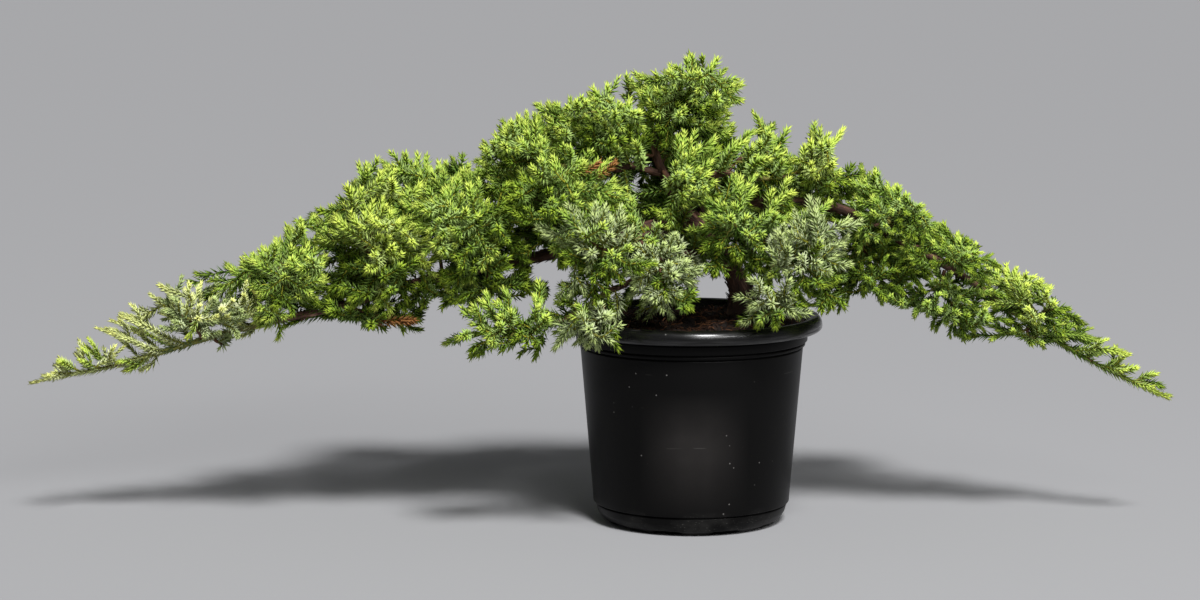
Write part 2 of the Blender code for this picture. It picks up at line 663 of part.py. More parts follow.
def pads_of_row(row, limbs):
    """The pads of a row, each as tall as the room between its limb and the crown's outline."""
    limb = limbs[row.limb]
    pads = []
    for k in range(row.count):
        share = k / max(1, row.count - 1)
        t = lerp(row.span[0], row.span[1], share)
        spot = limb.path.at(t)
        heading = limb.path.heading(t)
        run = (limb.path.at(row.span[1]) - limb.path.at(row.span[0])).length
        spacing = run / (row.count - 1) if row.count > 1 else LONE_PAD_SPACING
        edge = read(ROOF if row.side > 0 else FLOOR, spot.x)
        reach = max(SHORTEST_PAD, lerp(row.height[0], row.height[1], share) * abs(edge - spot.z))
        depth = read(HALF_DEPTH, spot.x)
        place = row.places[k % len(row.places)]
        middle = spot + UP * (row.side * reach / 2) + Vector((0.0, place * depth, 0.0))
        across = max(NARROWEST_PAD, depth * (ROW_WIDTH if place else LONE_ROW_WIDTH))
        lean = heading.normalized() + UP * lerp(row.uprightness[0], row.uprightness[1], share)
        pads.append(
            Pad(
                name=f"foliage_{row.limb.removeprefix('bough_')}_{row.label}_{k + 1}",
                limb=limb,
                station=t,
                centre=middle,
                along=Vector((heading.x, heading.y, 0.0)),
                half=(spacing * ROW_OVERLAP, across, reach / 2 + PAD_PROUD),
                lean=(lean + Vector((0.0, ROW_OUTWARD * place, 0.0))).normalized(),
                shoots=round(lerp(row.shoots[0], row.shoots[1], share)),
                tone=row.tones[k % len(row.tones)],
            )
        )
    return pads


def pad_of_tuft(tuft, limbs):
    """The pad that a single tuft describes."""
    lean = Vector(tuft.lean).normalized()
    return Pad(
        name=f"foliage_{tuft.label}", limb=limbs[tuft.limb], station=tuft.station, centre=Vector(tuft.middle),
        along=Vector((1.0, 0.0, 0.0)), half=tuft.half, lean=lean, shoots=tuft.shoots, tone=tuft.tone,
    )


def stem_of(pad):
    """The pad's stem: from just off its limb, through the pad's middle, towards the way its shoots lean."""
    heading = pad.limb.path.heading(pad.station)
    spot = pad.limb.path.at(pad.station)
    goal = pad.centre + pad.lean * (STEM_REACH * lean_room(pad, pad.lean))
    if pad.station >= 1.0:
        root = spot + heading * STEM_GAP
        leave = heading
    else:
        sideways = (pad.centre - spot) - heading * (pad.centre - spot).dot(heading)
        leave = sideways.normalized()
        root = spot + leave * (pad.limb.radius(pad.station) + STEM_GAP)
    length = (goal - root).length
    return Path(root, leave * (STEM_LEAVE * length), pad.lean * (STEM_ARRIVE * length), goal)


def lean_room(pad, direction):
    """How far a pad's ellipsoid runs from its middle in a direction."""
    return 1.0 / math.sqrt(sum((direction.dot(a) / h) ** 2 for a, h in zip(pad.axes(), pad.half)))


def golden_directions(count, pole, draws):
    """Directions spread evenly round a pole, from below its waist to near its top, each nudged a little."""
    side = pole.cross(Vector((0.0, 1.0, 0.0))).normalized()
    other = pole.cross(side)
    spread = []
    for k in range(count):
        z = lerp(LOWEST_SHOOT, HIGHEST_SHOOT, (k + 0.5) / count) + draws.uniform(-1.0, 1.0) * DIRECTION_NUDGE
        angle = k * GOLDEN_ANGLE + draws.uniform(-1.0, 1.0) * TURN_NUDGE
        flat = math.sqrt(1.0 - z * z)
        spread.append(pole * z + (side * math.cos(angle) + other * math.sin(angle)) * flat)
    return spread


def toothed_shoot(path, turn, base_radius, size, allowed):
    """A slim three-sided core along a path, with up to three needles standing out of it at each whorl.

    Each whorl's ring is turned half a side from the last, and every face that stands on a whorl rises to a
    needle's point where the needle is allowed. The part of the path before the first whorl is bare twig.
    """
    length = (path.at(1.0) - path.at(0.0)).length
    needled = min(MOST_NEEDLED, SHOOT_WHORLS * WHORL_GAP * size / length)
    stations = [0.0, *(1.0 - needled * (1.0 - k / SHOOT_WHORLS) for k in range(SHOOT_WHORLS))]
    if stations[1] > 0.5:
        stations.insert(1, stations[1] / 2)
    first = len(stations) - SHOOT_WHORLS
    level = path.level()
    shape = bmesh.new()
    loops = []
    for k, t in enumerate(stations):
        share = max(0.0, (k - first) / SHOOT_WHORLS)
        radius = base_radius if k < first else CORE_RADIUS * size * (1.0 - CORE_TAPER * share)
        spots = ring(path.at(t), path.heading(t), [radius] * 3, level, turn + math.pi * k / 3)
        loops.append([shape.verts.new(spot) for spot in spots])
    tip = shape.verts.new(path.at(1.0))
    shape.faces.new(loops[0])
    standing = []
    for k, (lower, upper) in enumerate(zip(loops, loops[1:])):
        for j in range(3):
            nxt = (j + 1) % 3
            shape.faces.new((upper[j], lower[nxt], upper[nxt]))
            stand = (lower[j], lower[nxt], upper[j])
            if k < first:
                shape.faces.new(stand)
            else:
                standing.append((stand, stations[k], (k - first) / SHOOT_WHORLS))
    last = loops[-1]
    standing += [((last[j], last[(j + 1) % 3], tip), stations[-1], 1.0) for j in range(3)]
    for stand, t, share in standing:
        add_needle(shape, stand, path, t, share, size, allowed)
    bmesh.ops.recalc_face_normals(shape, faces=shape.faces)
    if shape.calc_volume(signed=True) < 0.0:
        bmesh.ops.reverse_faces(shape, faces=shape.faces)
    return shape


def add_needle(shape, stand, path, t, share, size, allowed):
    """Raises one face of a shoot to a needle's point, or leaves it flat where there is no room for one."""
    middle = sum((corner.co for corner in stand), NOWHERE) / 3
    heading = path.heading(t)
    axis = path.at(t)
    out = (middle - axis) - heading * (middle - axis).dot(heading)
    angle = lerp(NEEDLES_OPEN, NEEDLES_CLOSED, share)
    direction = out.normalized() * math.sin(angle) + heading * math.cos(angle)
    needle = direction * (NEEDLE_LENGTH * size * (1.0 - NEEDLE_TAPER * share))
    if not all(allowed(middle + needle * part) for part in (0.3, 0.65, 1.0)):
        shape.faces.new(stand)
        return
    point = shape.verts.new(middle + needle)
    for start, end in ((0, 1), (1, 2), (2, 0)):
        shape.faces.new((stand[start], stand[end], point))


def grow_pad(pad, stem, space):
    """The shoots of a pad: one on the stem's end, and others that leave the stem in a spiral."""
    draws = random.Random(pad.name)

    def allowed(spot):
        return space.allows(pad, spot)

    shapes = [toothed_shoot(stem, draws.uniform(0.0, 2.0), STEM_RADIUS, pad.size(), allowed)]
    taken = needled_part(stem)
    directions = golden_directions(pad.shoots * DIRECTIONS_EACH, pad.lean, draws)
    for k in sorted(range(len(directions)), key=lambda k: (k % DIRECTIONS_EACH, k)):
        if len(shapes) > pad.shoots:
            break
        for reach in SHOOT_REACHES:
            path = branch_to(pad.place(directions[k] * reach), pad, stem)
            if path is None or crowded(path, taken, SHOOT_SPACING * pad.size() ** 1.5):
                continue
            root = path.at(0.0)
            spots = [path.at(j / 12) for j in range(1, 13)]
            if all(allowed(spot) for spot in spots if (spot - root).length > ROOT_MARGIN):
                shapes.append(toothed_shoot(path, draws.uniform(0.0, 2.0), STALK_RADIUS, pad.size(), allowed))
                taken += needled_part(path)
                break
    return shapes


def needled_part(path):
    """Points along the outer half of a path, where its needles stand."""
    return [path.at(k / 8) for k in range(4, 9)]


def crowded(path, taken, spacing):
    """True where the needled part of a path comes too near the shoots that are there already."""
    return any((point - spot).length < spacing for point in needled_part(path) for spot in taken)


def branch_to(tip, pad, stem):
    """The path of a twig to a tip from the place on the stem that it would leave at the natural angle."""
    choices = []
    for k in range(1, 8):
        root = stem.at(k / 10)
        span = tip - root
        if TWIG_SHORTEST < span.length < TWIG_LONGEST:
            turn = span.normalized().dot(stem.heading(k / 10))
            choices.append((abs(turn - BRANCHING_COSINE), k / 10))
    if not choices:
        return None
    t = min(choices)[1]
    root = stem.at(t)
    length = (tip - root).length
    straight = (tip - root).normalized()
    leave = (stem.heading(t) * TWIG_FORWARD + straight).normalized()
    arrive = (pad.outward(tip) + pad.lean * TWIG_LEAN + straight).normalized()
    return Path(root, leave * (TWIG_HANDLE * length), arrive * (TWIG_HANDLE * length), tip)


def join_pad(pad, shapes, collection, cutters):
    """One closed solid from a pad's shoots, the last of them left off until the solid is closed."""
    while True:
        body = union_of(pad, shapes, collection, cutters)
        if keep_largest_body(body.data):
            break
        bpy.data.objects.remove(body, do_unlink=True)
        shapes.pop().free()
    for shape in shapes:
        shape.free()
    return body


def union_of(pad, shapes, collection, cutters):
    """The union of a pad's first shoot with a collection of the others, applied and then removed."""
    look = GREENS[pad.tone]
    body = to_object(pad.name, shapes[0].copy(), collection, look)
    others = bpy.data.collections.new(f"{pad.name}_shoots")
    cutters.children.link(others)
    for k, shape in enumerate(shapes[1:]):
        to_object(f"{pad.name}_shoot_{k}", shape.copy(), others, look)
    union = body.modifiers.new("union", "BOOLEAN")
    union.operation = "UNION"
    union.operand_type = "COLLECTION"
    union.collection = others
    union.solver = "MANIFOLD"
    joined = bpy.data.meshes.new_from_object(body.evaluated_get(bpy.context.evaluated_depsgraph_get()))
    body.modifiers.clear()
    body.data = joined
    joined.name = pad.name
    for thing in list(others.objects):
        bpy.data.objects.remove(thing, do_unlink=True)
    bpy.data.collections.remove(others)
    return body


def keep_largest_body(mesh):
    """Drops loose scraps and sealed hollows, leaves the one outer skin, and tells whether it is closed."""
    shape = bmesh.new()
    shape.from_mesh(mesh)
    bmesh.ops.remove_doubles(shape, verts=shape.verts, dist=0.000002)
    unseen = set(shape.verts)
    groups = []
    while unseen:
        group = set()
        waiting = [unseen.pop()]
        while waiting:
            corner = waiting.pop()
            group.add(corner)
            for edge in corner.link_edges:
                other = edge.other_vert(corner)
                if other in unseen:
                    unseen.remove(other)
                    waiting.append(other)
        groups.append(group)
    largest = max(groups, key=len)
    bmesh.ops.delete(shape, geom=[v for v in shape.verts if v not in largest], context="VERTS")
    bmesh.ops.triangulate(shape, faces=shape.faces)
    closed = all(len(edge.link_faces) == 2 for edge in shape.edges)
    shape.to_mesh(mesh)
    shape.free()
    return closed


def make_limbs():
    """The trunk and the boughs that leave it, by name."""
    trunk = Limb(
        "trunk", Path(TRUNK_FOOT, TRUNK_RISE, TRUNK_ARRIVE, TRUNK_TIP, CROOK, 0.6), TRUNK_FOOT_RADIUS,
        TRUNK_TIP_RADIUS, FLARE_RADIUS,
    )
    limbs = {"trunk": trunk}
    for k, bough in enumerate(BOUGHS):
        root = trunk.path.at(bough.trunk_share)
        path = Path(root, bough.leave, bough.arrive, bough.tip, CROOK, 1.7 * k)
        limb = Limb(bough.name, path, bough.root_radius, BOUGH_TIP_RADIUS)
        limb.move_root_clear(trunk)
        limbs[bough.name] = limb
    return limbs


def main():
    """Builds the pot, its compost, the trunk, the boughs and every pad of foliage."""
    clear_scene()
    plant = bpy.data.collections.new("potted_juniper")
    cutters = bpy.data.collections.new("cutters")
    bpy.context.scene.collection.children.link(plant)
    bpy.context.scene.collection.children.link(cutters)
    build_pot(plant, cutters)
    build_soil(plant)
    limbs = make_limbs()
    build_trunk(limbs["trunk"], plant)
    for name, limb in limbs.items():
        if name != "trunk":
            build_bough(limb, plant)
    pads = [pad for row in ROWS for pad in pads_of_row(row, limbs)]
    pads += [pad_of_tuft(tuft, limbs) for tuft in TUFTS]
    space = Space(pads, limbs.values())
    stems = [stem_of(pad) for pad in pads]
    for pad, stem in zip(pads, stems):
        space.add_stem(pad, stem)
    space.sort()
    for pad, stem in zip(pads, stems):
        join_pad(pad, grow_pad(pad, stem, space), plant, cutters)


main()
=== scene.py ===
"""The looks of a potted prostrate juniper: its pot, compost, bark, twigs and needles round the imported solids.

Metres, +Z up. The origin is the middle of the pot's underside, +X is to the right of the plant's front and
+Y runs towards its back. Every mass of foliage grows again here by the rule that shaped its solid: a stem off
its limb, twigs that branch from the stem, and finer twigs and needled shoots within the same reach.
"""

import json
import logging
from collections.abc import Callable
from dataclasses import dataclass
from enum import Enum
from math import cos, floor, hypot, pi, radians, sin, sqrt
from random import Random

import bmesh
import bpy
import numpy as np
from bpy.types import Material, Mesh, Object
from mathutils import Euler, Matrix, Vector, noise
from mathutils.kdtree import KDTree

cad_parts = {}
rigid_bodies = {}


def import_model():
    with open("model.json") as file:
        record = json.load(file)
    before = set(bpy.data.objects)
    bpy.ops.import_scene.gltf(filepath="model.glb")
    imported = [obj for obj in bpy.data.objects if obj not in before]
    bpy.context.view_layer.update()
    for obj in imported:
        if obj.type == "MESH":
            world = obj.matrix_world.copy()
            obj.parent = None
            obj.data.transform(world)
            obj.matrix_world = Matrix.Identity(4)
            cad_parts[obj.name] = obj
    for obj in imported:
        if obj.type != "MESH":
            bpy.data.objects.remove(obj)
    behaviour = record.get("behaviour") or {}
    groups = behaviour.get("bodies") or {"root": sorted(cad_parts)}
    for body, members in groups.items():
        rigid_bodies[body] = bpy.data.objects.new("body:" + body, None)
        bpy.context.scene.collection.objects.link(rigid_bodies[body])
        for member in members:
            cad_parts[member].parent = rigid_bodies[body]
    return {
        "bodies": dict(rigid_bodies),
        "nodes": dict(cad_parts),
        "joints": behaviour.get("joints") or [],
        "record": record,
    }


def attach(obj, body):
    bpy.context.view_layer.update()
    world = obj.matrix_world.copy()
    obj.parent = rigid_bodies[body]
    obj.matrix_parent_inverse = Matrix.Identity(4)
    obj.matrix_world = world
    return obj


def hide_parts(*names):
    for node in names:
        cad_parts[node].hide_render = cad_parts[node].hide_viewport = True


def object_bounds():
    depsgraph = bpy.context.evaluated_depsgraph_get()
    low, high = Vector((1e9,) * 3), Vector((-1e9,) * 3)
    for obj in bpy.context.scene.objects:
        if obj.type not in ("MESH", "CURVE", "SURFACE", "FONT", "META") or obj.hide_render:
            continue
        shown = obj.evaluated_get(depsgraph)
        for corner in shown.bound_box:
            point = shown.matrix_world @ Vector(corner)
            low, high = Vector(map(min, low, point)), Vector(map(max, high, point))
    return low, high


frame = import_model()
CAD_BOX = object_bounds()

LOG = logging.getLogger("juniper")
BODY = "root"
UP = Vector((0.0, 0.0, 1.0))
NOWHERE = Vector((0.0, 0.0, 0.0))
AXES = (Vector((0.0, 1.0, 0.0)), Vector((1.0, 0.0, 0.0)), UP)
EYE = Vector((-0.058, -2.0, 0.4065))
GOLDEN_ANGLE = pi * (3.0 - sqrt(5.0))
SHARP_ANGLE = radians(50.0)
Triple = tuple[float, float, float]
Rgb = Triple
Span = tuple[float, float]


# Node trees


class Wire:
    """An output socket that takes part in sums: each operator adds one Math node."""

    def __init__(self, maker: "NodeMaker", socket: bpy.types.NodeSocket) -> None:
        """Keeps the socket and the maker of its tree."""
        self.maker = maker
        self.socket = socket

    def sum(self, operation: str, *terms: "Wire | float") -> "Wire":
        """Adds a Math node whose values are numbers or other wires."""
        return self.maker.add("ShaderNodeMath", {"operation": operation}, dict(enumerate(terms)))

    def __add__(self, other: "Wire | float") -> "Wire":
        """This plus other."""
        return self.sum("ADD", self, other)

    def __sub__(self, other: "Wire | float") -> "Wire":
        """This minus other."""
        return self.sum("SUBTRACT", self, other)

    def __rsub__(self, other: float) -> "Wire":
        """Other minus this."""
        return self.sum("SUBTRACT", other, self)

    def __mul__(self, other: "Wire | float") -> "Wire":
        """This times other."""
        return self.sum("MULTIPLY", self, other)

    def __pow__(self, other: float) -> "Wire":
        """This to the power of other."""
        return self.sum("POWER", self, other)

    __radd__ = __add__
    __rmul__ = __mul__

    def above(self, edge: "Wire | float") -> "Wire":
        """1 where this is above an edge, and 0 elsewhere."""
        return self.sum("GREATER_THAN", self, edge)

    def between(self, low: float, high: float) -> "Wire":
        """0 below low, 1 above high, and straight between them."""
        values = {"Value": self, "From Min": low, "From Max": high}
        return self.maker.add("ShaderNodeMapRange", {"clamp": True}, values)


@dataclass
class NodeMaker:
    """Adds nodes to one tree."""

    tree: bpy.types.NodeTree

    def raw(self, kind: str, settings: dict | None = None, values: dict | None = None) -> bpy.types.Node:
        """Adds a node.

        Args:
            kind: The node's type.
            settings: Its own properties, which are set first.
            values: For each input socket, by name or number, a number, a colour or a wire.

        Returns:
            The node itself.
        """
        node = self.tree.nodes.new(kind)
        for name, value in (settings or {}).items():
            setattr(node, name, value)
        for name, value in (values or {}).items():
            socket = node.inputs[name]
            if isinstance(value, Wire):
                self.tree.links.new(value.socket, socket)
            else:
                socket.default_value = value
        return node

    def add(
        self, kind: str, settings: dict | None = None, values: dict | None = None, output: str | int = 0
    ) -> Wire:
        """Adds a node as raw does, and hands on one of its outputs."""
        return Wire(self, self.raw(kind, settings, values).outputs[output])


class Shader(NodeMaker):
    """The node tree of one material, with the helpers that this plant's finishes share."""

    def __init__(self, name: str) -> None:
        """Starts an empty material."""
        self.material = bpy.data.materials.new(name)
        self.material.use_nodes = True
        super().__init__(self.material.node_tree)
        self.tree.nodes.clear()

    def place(self) -> Wire:
        """Object coordinates."""
        return self.add("ShaderNodeTexCoord", output="Object")

    def stretch(self, vector: Wire, scale: Triple) -> Wire:
        """A vector scaled along each axis."""
        return self.add("ShaderNodeMapping", values={"Vector": vector, "Scale": scale})

    def noise(self, vector: Wire, scale: float, detail: float = 4.0, rough: float = 0.55) -> Wire:
        """Cloudy noise from 0 to 1."""
        values = {"Vector": vector, "Scale": scale, "Detail": detail, "Roughness": rough}
        return self.add("ShaderNodeTexNoise", values=values)

    def cells(self, vector: Wire, scale: float) -> Wire:
        """The distance to the nearest of many scattered points."""
        return self.add("ShaderNodeTexVoronoi", values={"Vector": vector, "Scale": scale})

    def blend(self, share: Wire, first: Rgb | Wire, second: Rgb | Wire) -> Wire:
        """A mix of two colours, each a colour or a wire, by the second one's share."""
        colours = {6 + k: c if isinstance(c, Wire) else (*c, 1.0) for k, c in enumerate((first, second))}
        return self.add("ShaderNodeMix", {"data_type": "RGBA"}, {0: share, **colours}, output=2)

    def bump(self, height: Wire, strength: float, depth: float) -> Wire:
        """A normal that follows a height."""
        return self.add("ShaderNodeBump", values={"Height": height, "Strength": strength, "Distance": depth})

    def close(self, values: dict) -> Material:
        """Ends the tree in a Principled shader with a number, a colour or a wire for each socket named."""
        surface = self.add("ShaderNodeBsdfPrincipled", values=values)
        self.raw("ShaderNodeOutputMaterial", values={"Surface": surface})
        return self.material


@dataclass(frozen=True)
class PlasticFinish:
    """Black moulded plastic: a painted highlight paler down the front of the wall, a glossy lip, a dusty foot
    and a few bright specks.
    """

    base: Rgb = (0.0024, 0.0023, 0.0023)
    # A painted highlight colour, paler than the base, for the soft reflection down the front of the wall.
    painted_highlight: Rgb = (0.0165, 0.0150, 0.0145)
    dust: Rgb = (0.17, 0.165, 0.155)
    roughness: float = 0.36
    dusty_heights: Span = (0.004, 0.017)
    lip_heights: Span = (0.1224, 0.1234)
    # Where the painted highlight lies: its half width across the front, the heights where it fades in and out,
    # and how far back it reaches.
    highlight_aside: Span = (0.008, 0.034)
    highlight_begins: Span = (0.012, 0.050)
    highlight_ends: Span = (0.062, 0.092)
    highlight_front: Span = (-0.05, 0.0)
    mottle_waves: float = 60.0
    speck_cells: float = 150.0
    crumb_cells: float = 520.0
    grain_waves: float = 700.0

    def material(self) -> Material:
        """The finished material."""
        tree = Shader("black_plastic")
        place = tree.place()
        x, y, height = (tree.add("ShaderNodeSeparateXYZ", values={0: place}, output=k) for k in range(3))
        mottle = tree.noise(place, self.mottle_waves, 5.0)
        specks = 1.0 - tree.cells(place, self.speck_cells).between(0.055, 0.085)
        few = tree.noise(place, 41.0, 2.0).between(0.56, 0.60)
        crumbs = 1.0 - tree.cells(place, self.crumb_cells).between(0.10, 0.20)
        low = 1.0 - height.between(*self.dusty_heights)
        scratches = tree.noise(tree.stretch(place, (0.6, 0.6, 14.0)), 34.0, 2.0).between(0.735, 0.75)
        dusty = low * (mottle.between(0.46, 0.66) * 0.10 + crumbs * mottle.between(0.42, 0.60) * 0.5)
        share = (dusty + specks * few * 0.6 + scratches * 0.12).between(0.0, 1.0)
        # Painted highlight: the front middle of the wall is mixed towards the paler colour, as a soft
        # reflection would brighten it.
        aside = x.sum("ABSOLUTE", x).between(*self.highlight_aside)
        highlight_share = (1.0 - aside) * height.between(*self.highlight_begins) * (1.0 - height.between(*self.highlight_ends))
        highlight_share = highlight_share * (1.0 - y.between(*self.highlight_front)) * (0.7 + mottle * 0.5)
        lip = height.between(*self.lip_heights)
        streaks = tree.noise(tree.stretch(place, (1.0, 1.0, 26.0)), 52.0, 3.0).between(0.36, 0.60)
        return tree.close({
            "Base Color": tree.blend(share, tree.blend(highlight_share, self.base, self.painted_highlight), self.dust),
            "Roughness": self.roughness + mottle * 0.08 + share * 0.3,
            "Specular IOR Level": 0.09,
            "Coat Weight": lip * (0.35 + streaks * 0.65),
            "Coat Roughness": 0.19,
            "Normal": tree.bump(tree.noise(place, self.grain_waves, 2.0) * 0.25 + mottle, 0.12, 0.0006),
        })


@dataclass(frozen=True)
class CompostFinish:
    """Damp bark and peat, or the chips and roots in it."""

    name: str
    dark: Rgb
    light: Rgb
    clod_waves: float = 230.0
    thread_waves: float = 420.0

    def material(self) -> Material:
        """The finished material."""
        tree = Shader(self.name)
        place = tree.place()
        clods = tree.noise(place, self.clod_waves, 7.0, 0.62)
        threads = tree.noise(tree.stretch(place, (1.0, 3.0, 1.0)), self.thread_waves, 4.0)
        share = (clods * 1.2 - 0.35 + (threads - 0.5) * 0.7).between(0.0, 1.0)
        return tree.close({
            "Base Color": tree.blend(share, self.dark, self.light),
            "Roughness": 0.72 + clods * 0.2,
            "Specular IOR Level": 0.25,
            "Normal": tree.bump(clods + threads * 0.5, 0.8, 0.0012),
        })


@dataclass(frozen=True)
class BarkFinish:
    """Thin reddish-brown bark that splits along the limb's grain, olive where young, with painted shade
    darkening the trunk's foot.
    """

    name: str = "bark"
    crevice: Rgb = (0.018, 0.0085, 0.0060)
    body: Rgb = (0.135, 0.056, 0.034)
    flake: Rgb = (0.34, 0.190, 0.125)
    green: Rgb = (0.23, 0.235, 0.040)
    fibre_waves: float = 900.0
    strip_waves: float = 260.0

    def material(self) -> Material:
        """The finished material."""
        tree = Shader(self.name)
        grain, young, damp = (
            tree.add("ShaderNodeAttribute", {"attribute_name": name}, output=output)
            for name, output in (("grain", "Vector"), ("young", "Fac"), ("damp", "Fac"))
        )
        fibres = tree.noise(tree.stretch(grain, (0.16, 1.0, 1.0)), self.fibre_waves, 6.0, 0.62)
        strips = tree.noise(tree.stretch(grain, (0.14, 1.0, 1.0)), self.strip_waves, 3.0)
        share = (fibres * 0.75 + strips * 0.45).between(0.42, 0.78)
        pale = (fibres * strips).between(0.30, 0.42)
        under = tree.blend(share, self.crevice, self.body)
        # Painted shade: towards the trunk's foot, under the crown, the bark is mixed towards the crevice
        # colour.
        old = tree.blend(damp * 0.85, tree.blend(pale * 0.85, under, self.flake), self.crevice)
        return tree.close({
            "Base Color": tree.blend((young * 1.6 - fibres * 0.6).between(0.0, 1.0), old, self.green),
            "Roughness": 0.74 + fibres * 0.2,
            "Normal": tree.bump(fibres + strips * 0.7, 0.7, 0.0007),
        })


@dataclass(frozen=True)
class PlainFinish:
    """One even colour, for pieces so small that a pattern would not show."""

    name: str
    colour: Rgb
    roughness: float = 0.55

    def material(self) -> Material:
        """The finished material."""
        tree = Shader(self.name)
        return tree.close({
            "Base Color": (*self.colour, 1.0),
            "Roughness": self.roughness,
            "Specular IOR Level": 0.18,
        })


@dataclass(frozen=True)
class NeedleFinish:
    """The colours of one tint of needles: the keel, the pale upper face, the young needles and the bud."""

    keel: Rgb
    upper: Rgb
    young: Rgb
    bud: Rgb

    PARTS = ("Keel", "Grown", "Upper", "Young", "Bud")
    GROWN_SHARE = 0.45
    ROUGHNESS = 0.5

    def materials(self, name: str) -> dict[str, Material]:
        """The materials of old keels, grown keels, upper faces, young needles and the bud.

        Args:
            name: The tint's name, which their names start with.

        Returns:
            Each part's material.
        """
        grown = tuple(lerp(a, b, self.GROWN_SHARE) for a, b in zip(self.keel, self.young))
        colours = (self.keel, grown, self.upper, self.young, self.bud)
        return {
            part: PlainFinish(f"{name}_{part}".lower(), colour, self.ROUGHNESS).material()
            for part, colour in zip(self.PARTS, colours)
        }


class Tint(Enum):
    """The tints that the sprays of needles come in."""

    LIME = NeedleFinish((0.138, 0.240, 0.032), (0.34, 0.47, 0.13), (0.38, 0.54, 0.080), (0.55, 0.67, 0.110))
    FRESH = NeedleFinish((0.112, 0.205, 0.030), (0.29, 0.41, 0.12), (0.30, 0.45, 0.065), (0.47, 0.60, 0.095))
    BLUE = NeedleFinish((0.200, 0.268, 0.100), (0.47, 0.54, 0.29), (0.41, 0.50, 0.20), (0.50, 0.60, 0.22))
    # A darker copy of the green that paints shade: for shoots under the boughs, facing down or in the crown's
    # dark recess, and for a few strays.
    DEEP = NeedleFinish((0.072, 0.132, 0.013), (0.16, 0.25, 0.048), (0.19, 0.30, 0.026), (0.33, 0.45, 0.040))
    PALE = NeedleFinish((0.205, 0.305, 0.055), (0.46, 0.57, 0.17), (0.50, 0.64, 0.100), (0.62, 0.73, 0.120))
    SILVER = NeedleFinish((0.460, 0.520, 0.200), (0.70, 0.74, 0.42), (0.70, 0.76, 0.29), (0.78, 0.81, 0.26))
    BROWN = NeedleFinish((0.22, 0.090, 0.028), (0.36, 0.17, 0.060), (0.34, 0.15, 0.045), (0.36, 0.16, 0.05))


@dataclass(frozen=True)
class Stance:
    """How needles stand on their shoot: their length, the gap between whorls and their angles."""

    length: float
    gap: float
    open_angle: float
    closed_angle: float


class Habit(Enum):
    """The stances that shoots come in."""

    OPEN = Stance(0.0086, 0.00150, radians(58.0), radians(29.0))
    CLOSE = Stance(0.0072, 0.00135, radians(46.0), radians(25.0))


# Shapes shared with the solids


def lerp(a: float, b: float, share: float) -> float:
    """The value a share of the way from a to b."""
    return a + (b - a) * share


def read(outline: tuple, x: float) -> float:
    """The height or depth that an outline has at x.

    Args:
        outline: Pairs of x and value, in order.
        x: Where to read it.

    Returns:
        The value, straight between its places.
    """
    for (x0, v0), (x1, v1) in zip(outline, outline[1:]):
        if x <= x1:
            return lerp(v0, v1, max(0.0, (x - x0) / (x1 - x0)))
    return outline[-1][1]


def ring(
    centre: Vector, heading: Vector, radii: list[float], level: Vector, turn: float = 0.0
) -> list[Vector]:
    """Points round a centre.

    Args:
        centre: The ring's middle.
        heading: The direction that it is square to.
        radii: One radius for each point.
        level: The direction that its turns are counted from.
        turn: The turn of its first point.

    Returns:
        The points.
    """
    side = level.cross(heading).normalized()
    other = heading.cross(side)
    angles = [turn + 2 * pi * k / len(radii) for k in range(len(radii))]
    return [centre + (side * cos(a) + other * sin(a)) * r for a, r in zip(angles, radii)]


class Path:
    """A cubic curve that leaves its root along one vector and arrives at its tip along another."""

    CROOK_WAVES = 2.3

    def __init__(
        self, root: Vector, leave: Vector, arrive: Vector, tip: Vector, crook: float = 0.0, turn: float = 0.0
    ) -> None:
        """Keeps the curve's four handles and its crook."""
        self.handles = (root, root + leave, tip - arrive, tip)
        self.crook = crook
        self.turn = turn

    def at(self, t: float) -> Vector:
        """The point at t, with a slow crook that dies away at both ends."""
        a, b, c, d = self.handles
        s = 1.0 - t
        spot = a * s**3 + b * (3 * s * s * t) + c * (3 * s * t * t) + d * t**3
        if not self.crook:
            return spot
        angle = 2 * pi * self.CROOK_WAVES * t + self.turn
        swing = self.crook * sin(pi * t) ** 2
        return spot + Vector((0.0, sin(angle), 0.7 * cos(angle))) * swing

    def heading(self, t: float) -> Vector:
        """The unit direction of growth at t."""
        step = 0.01
        return (self.at(min(1.0, t + step)) - self.at(max(0.0, t - step))).normalized()

    def off(self, t: float, angle: float) -> Vector:
        """The direction square to the path at t, turned round it by an angle."""
        spot = self.at(t)
        return (ring(spot, self.heading(t), [1.0], self.level(), angle)[0] - spot).normalized()

    def level(self) -> Vector:
        """The axis that the whole path runs most square to, which its rings are counted from."""
        headings = [self.heading(t) for t in (0.0, 0.5, 1.0)]
        return min(AXES, key=lambda axis: max(abs(axis.dot(heading)) for heading in headings))

    def span(self) -> float:
        """The straight distance from root to tip."""
        return (self.handles[3] - self.handles[0]).length

    def cut(self, start: float, end: float, count: int) -> list[Vector]:
        """Points along a part of the path."""
        return [self.at(lerp(start, end, k / (count - 1))) for k in range(count)]


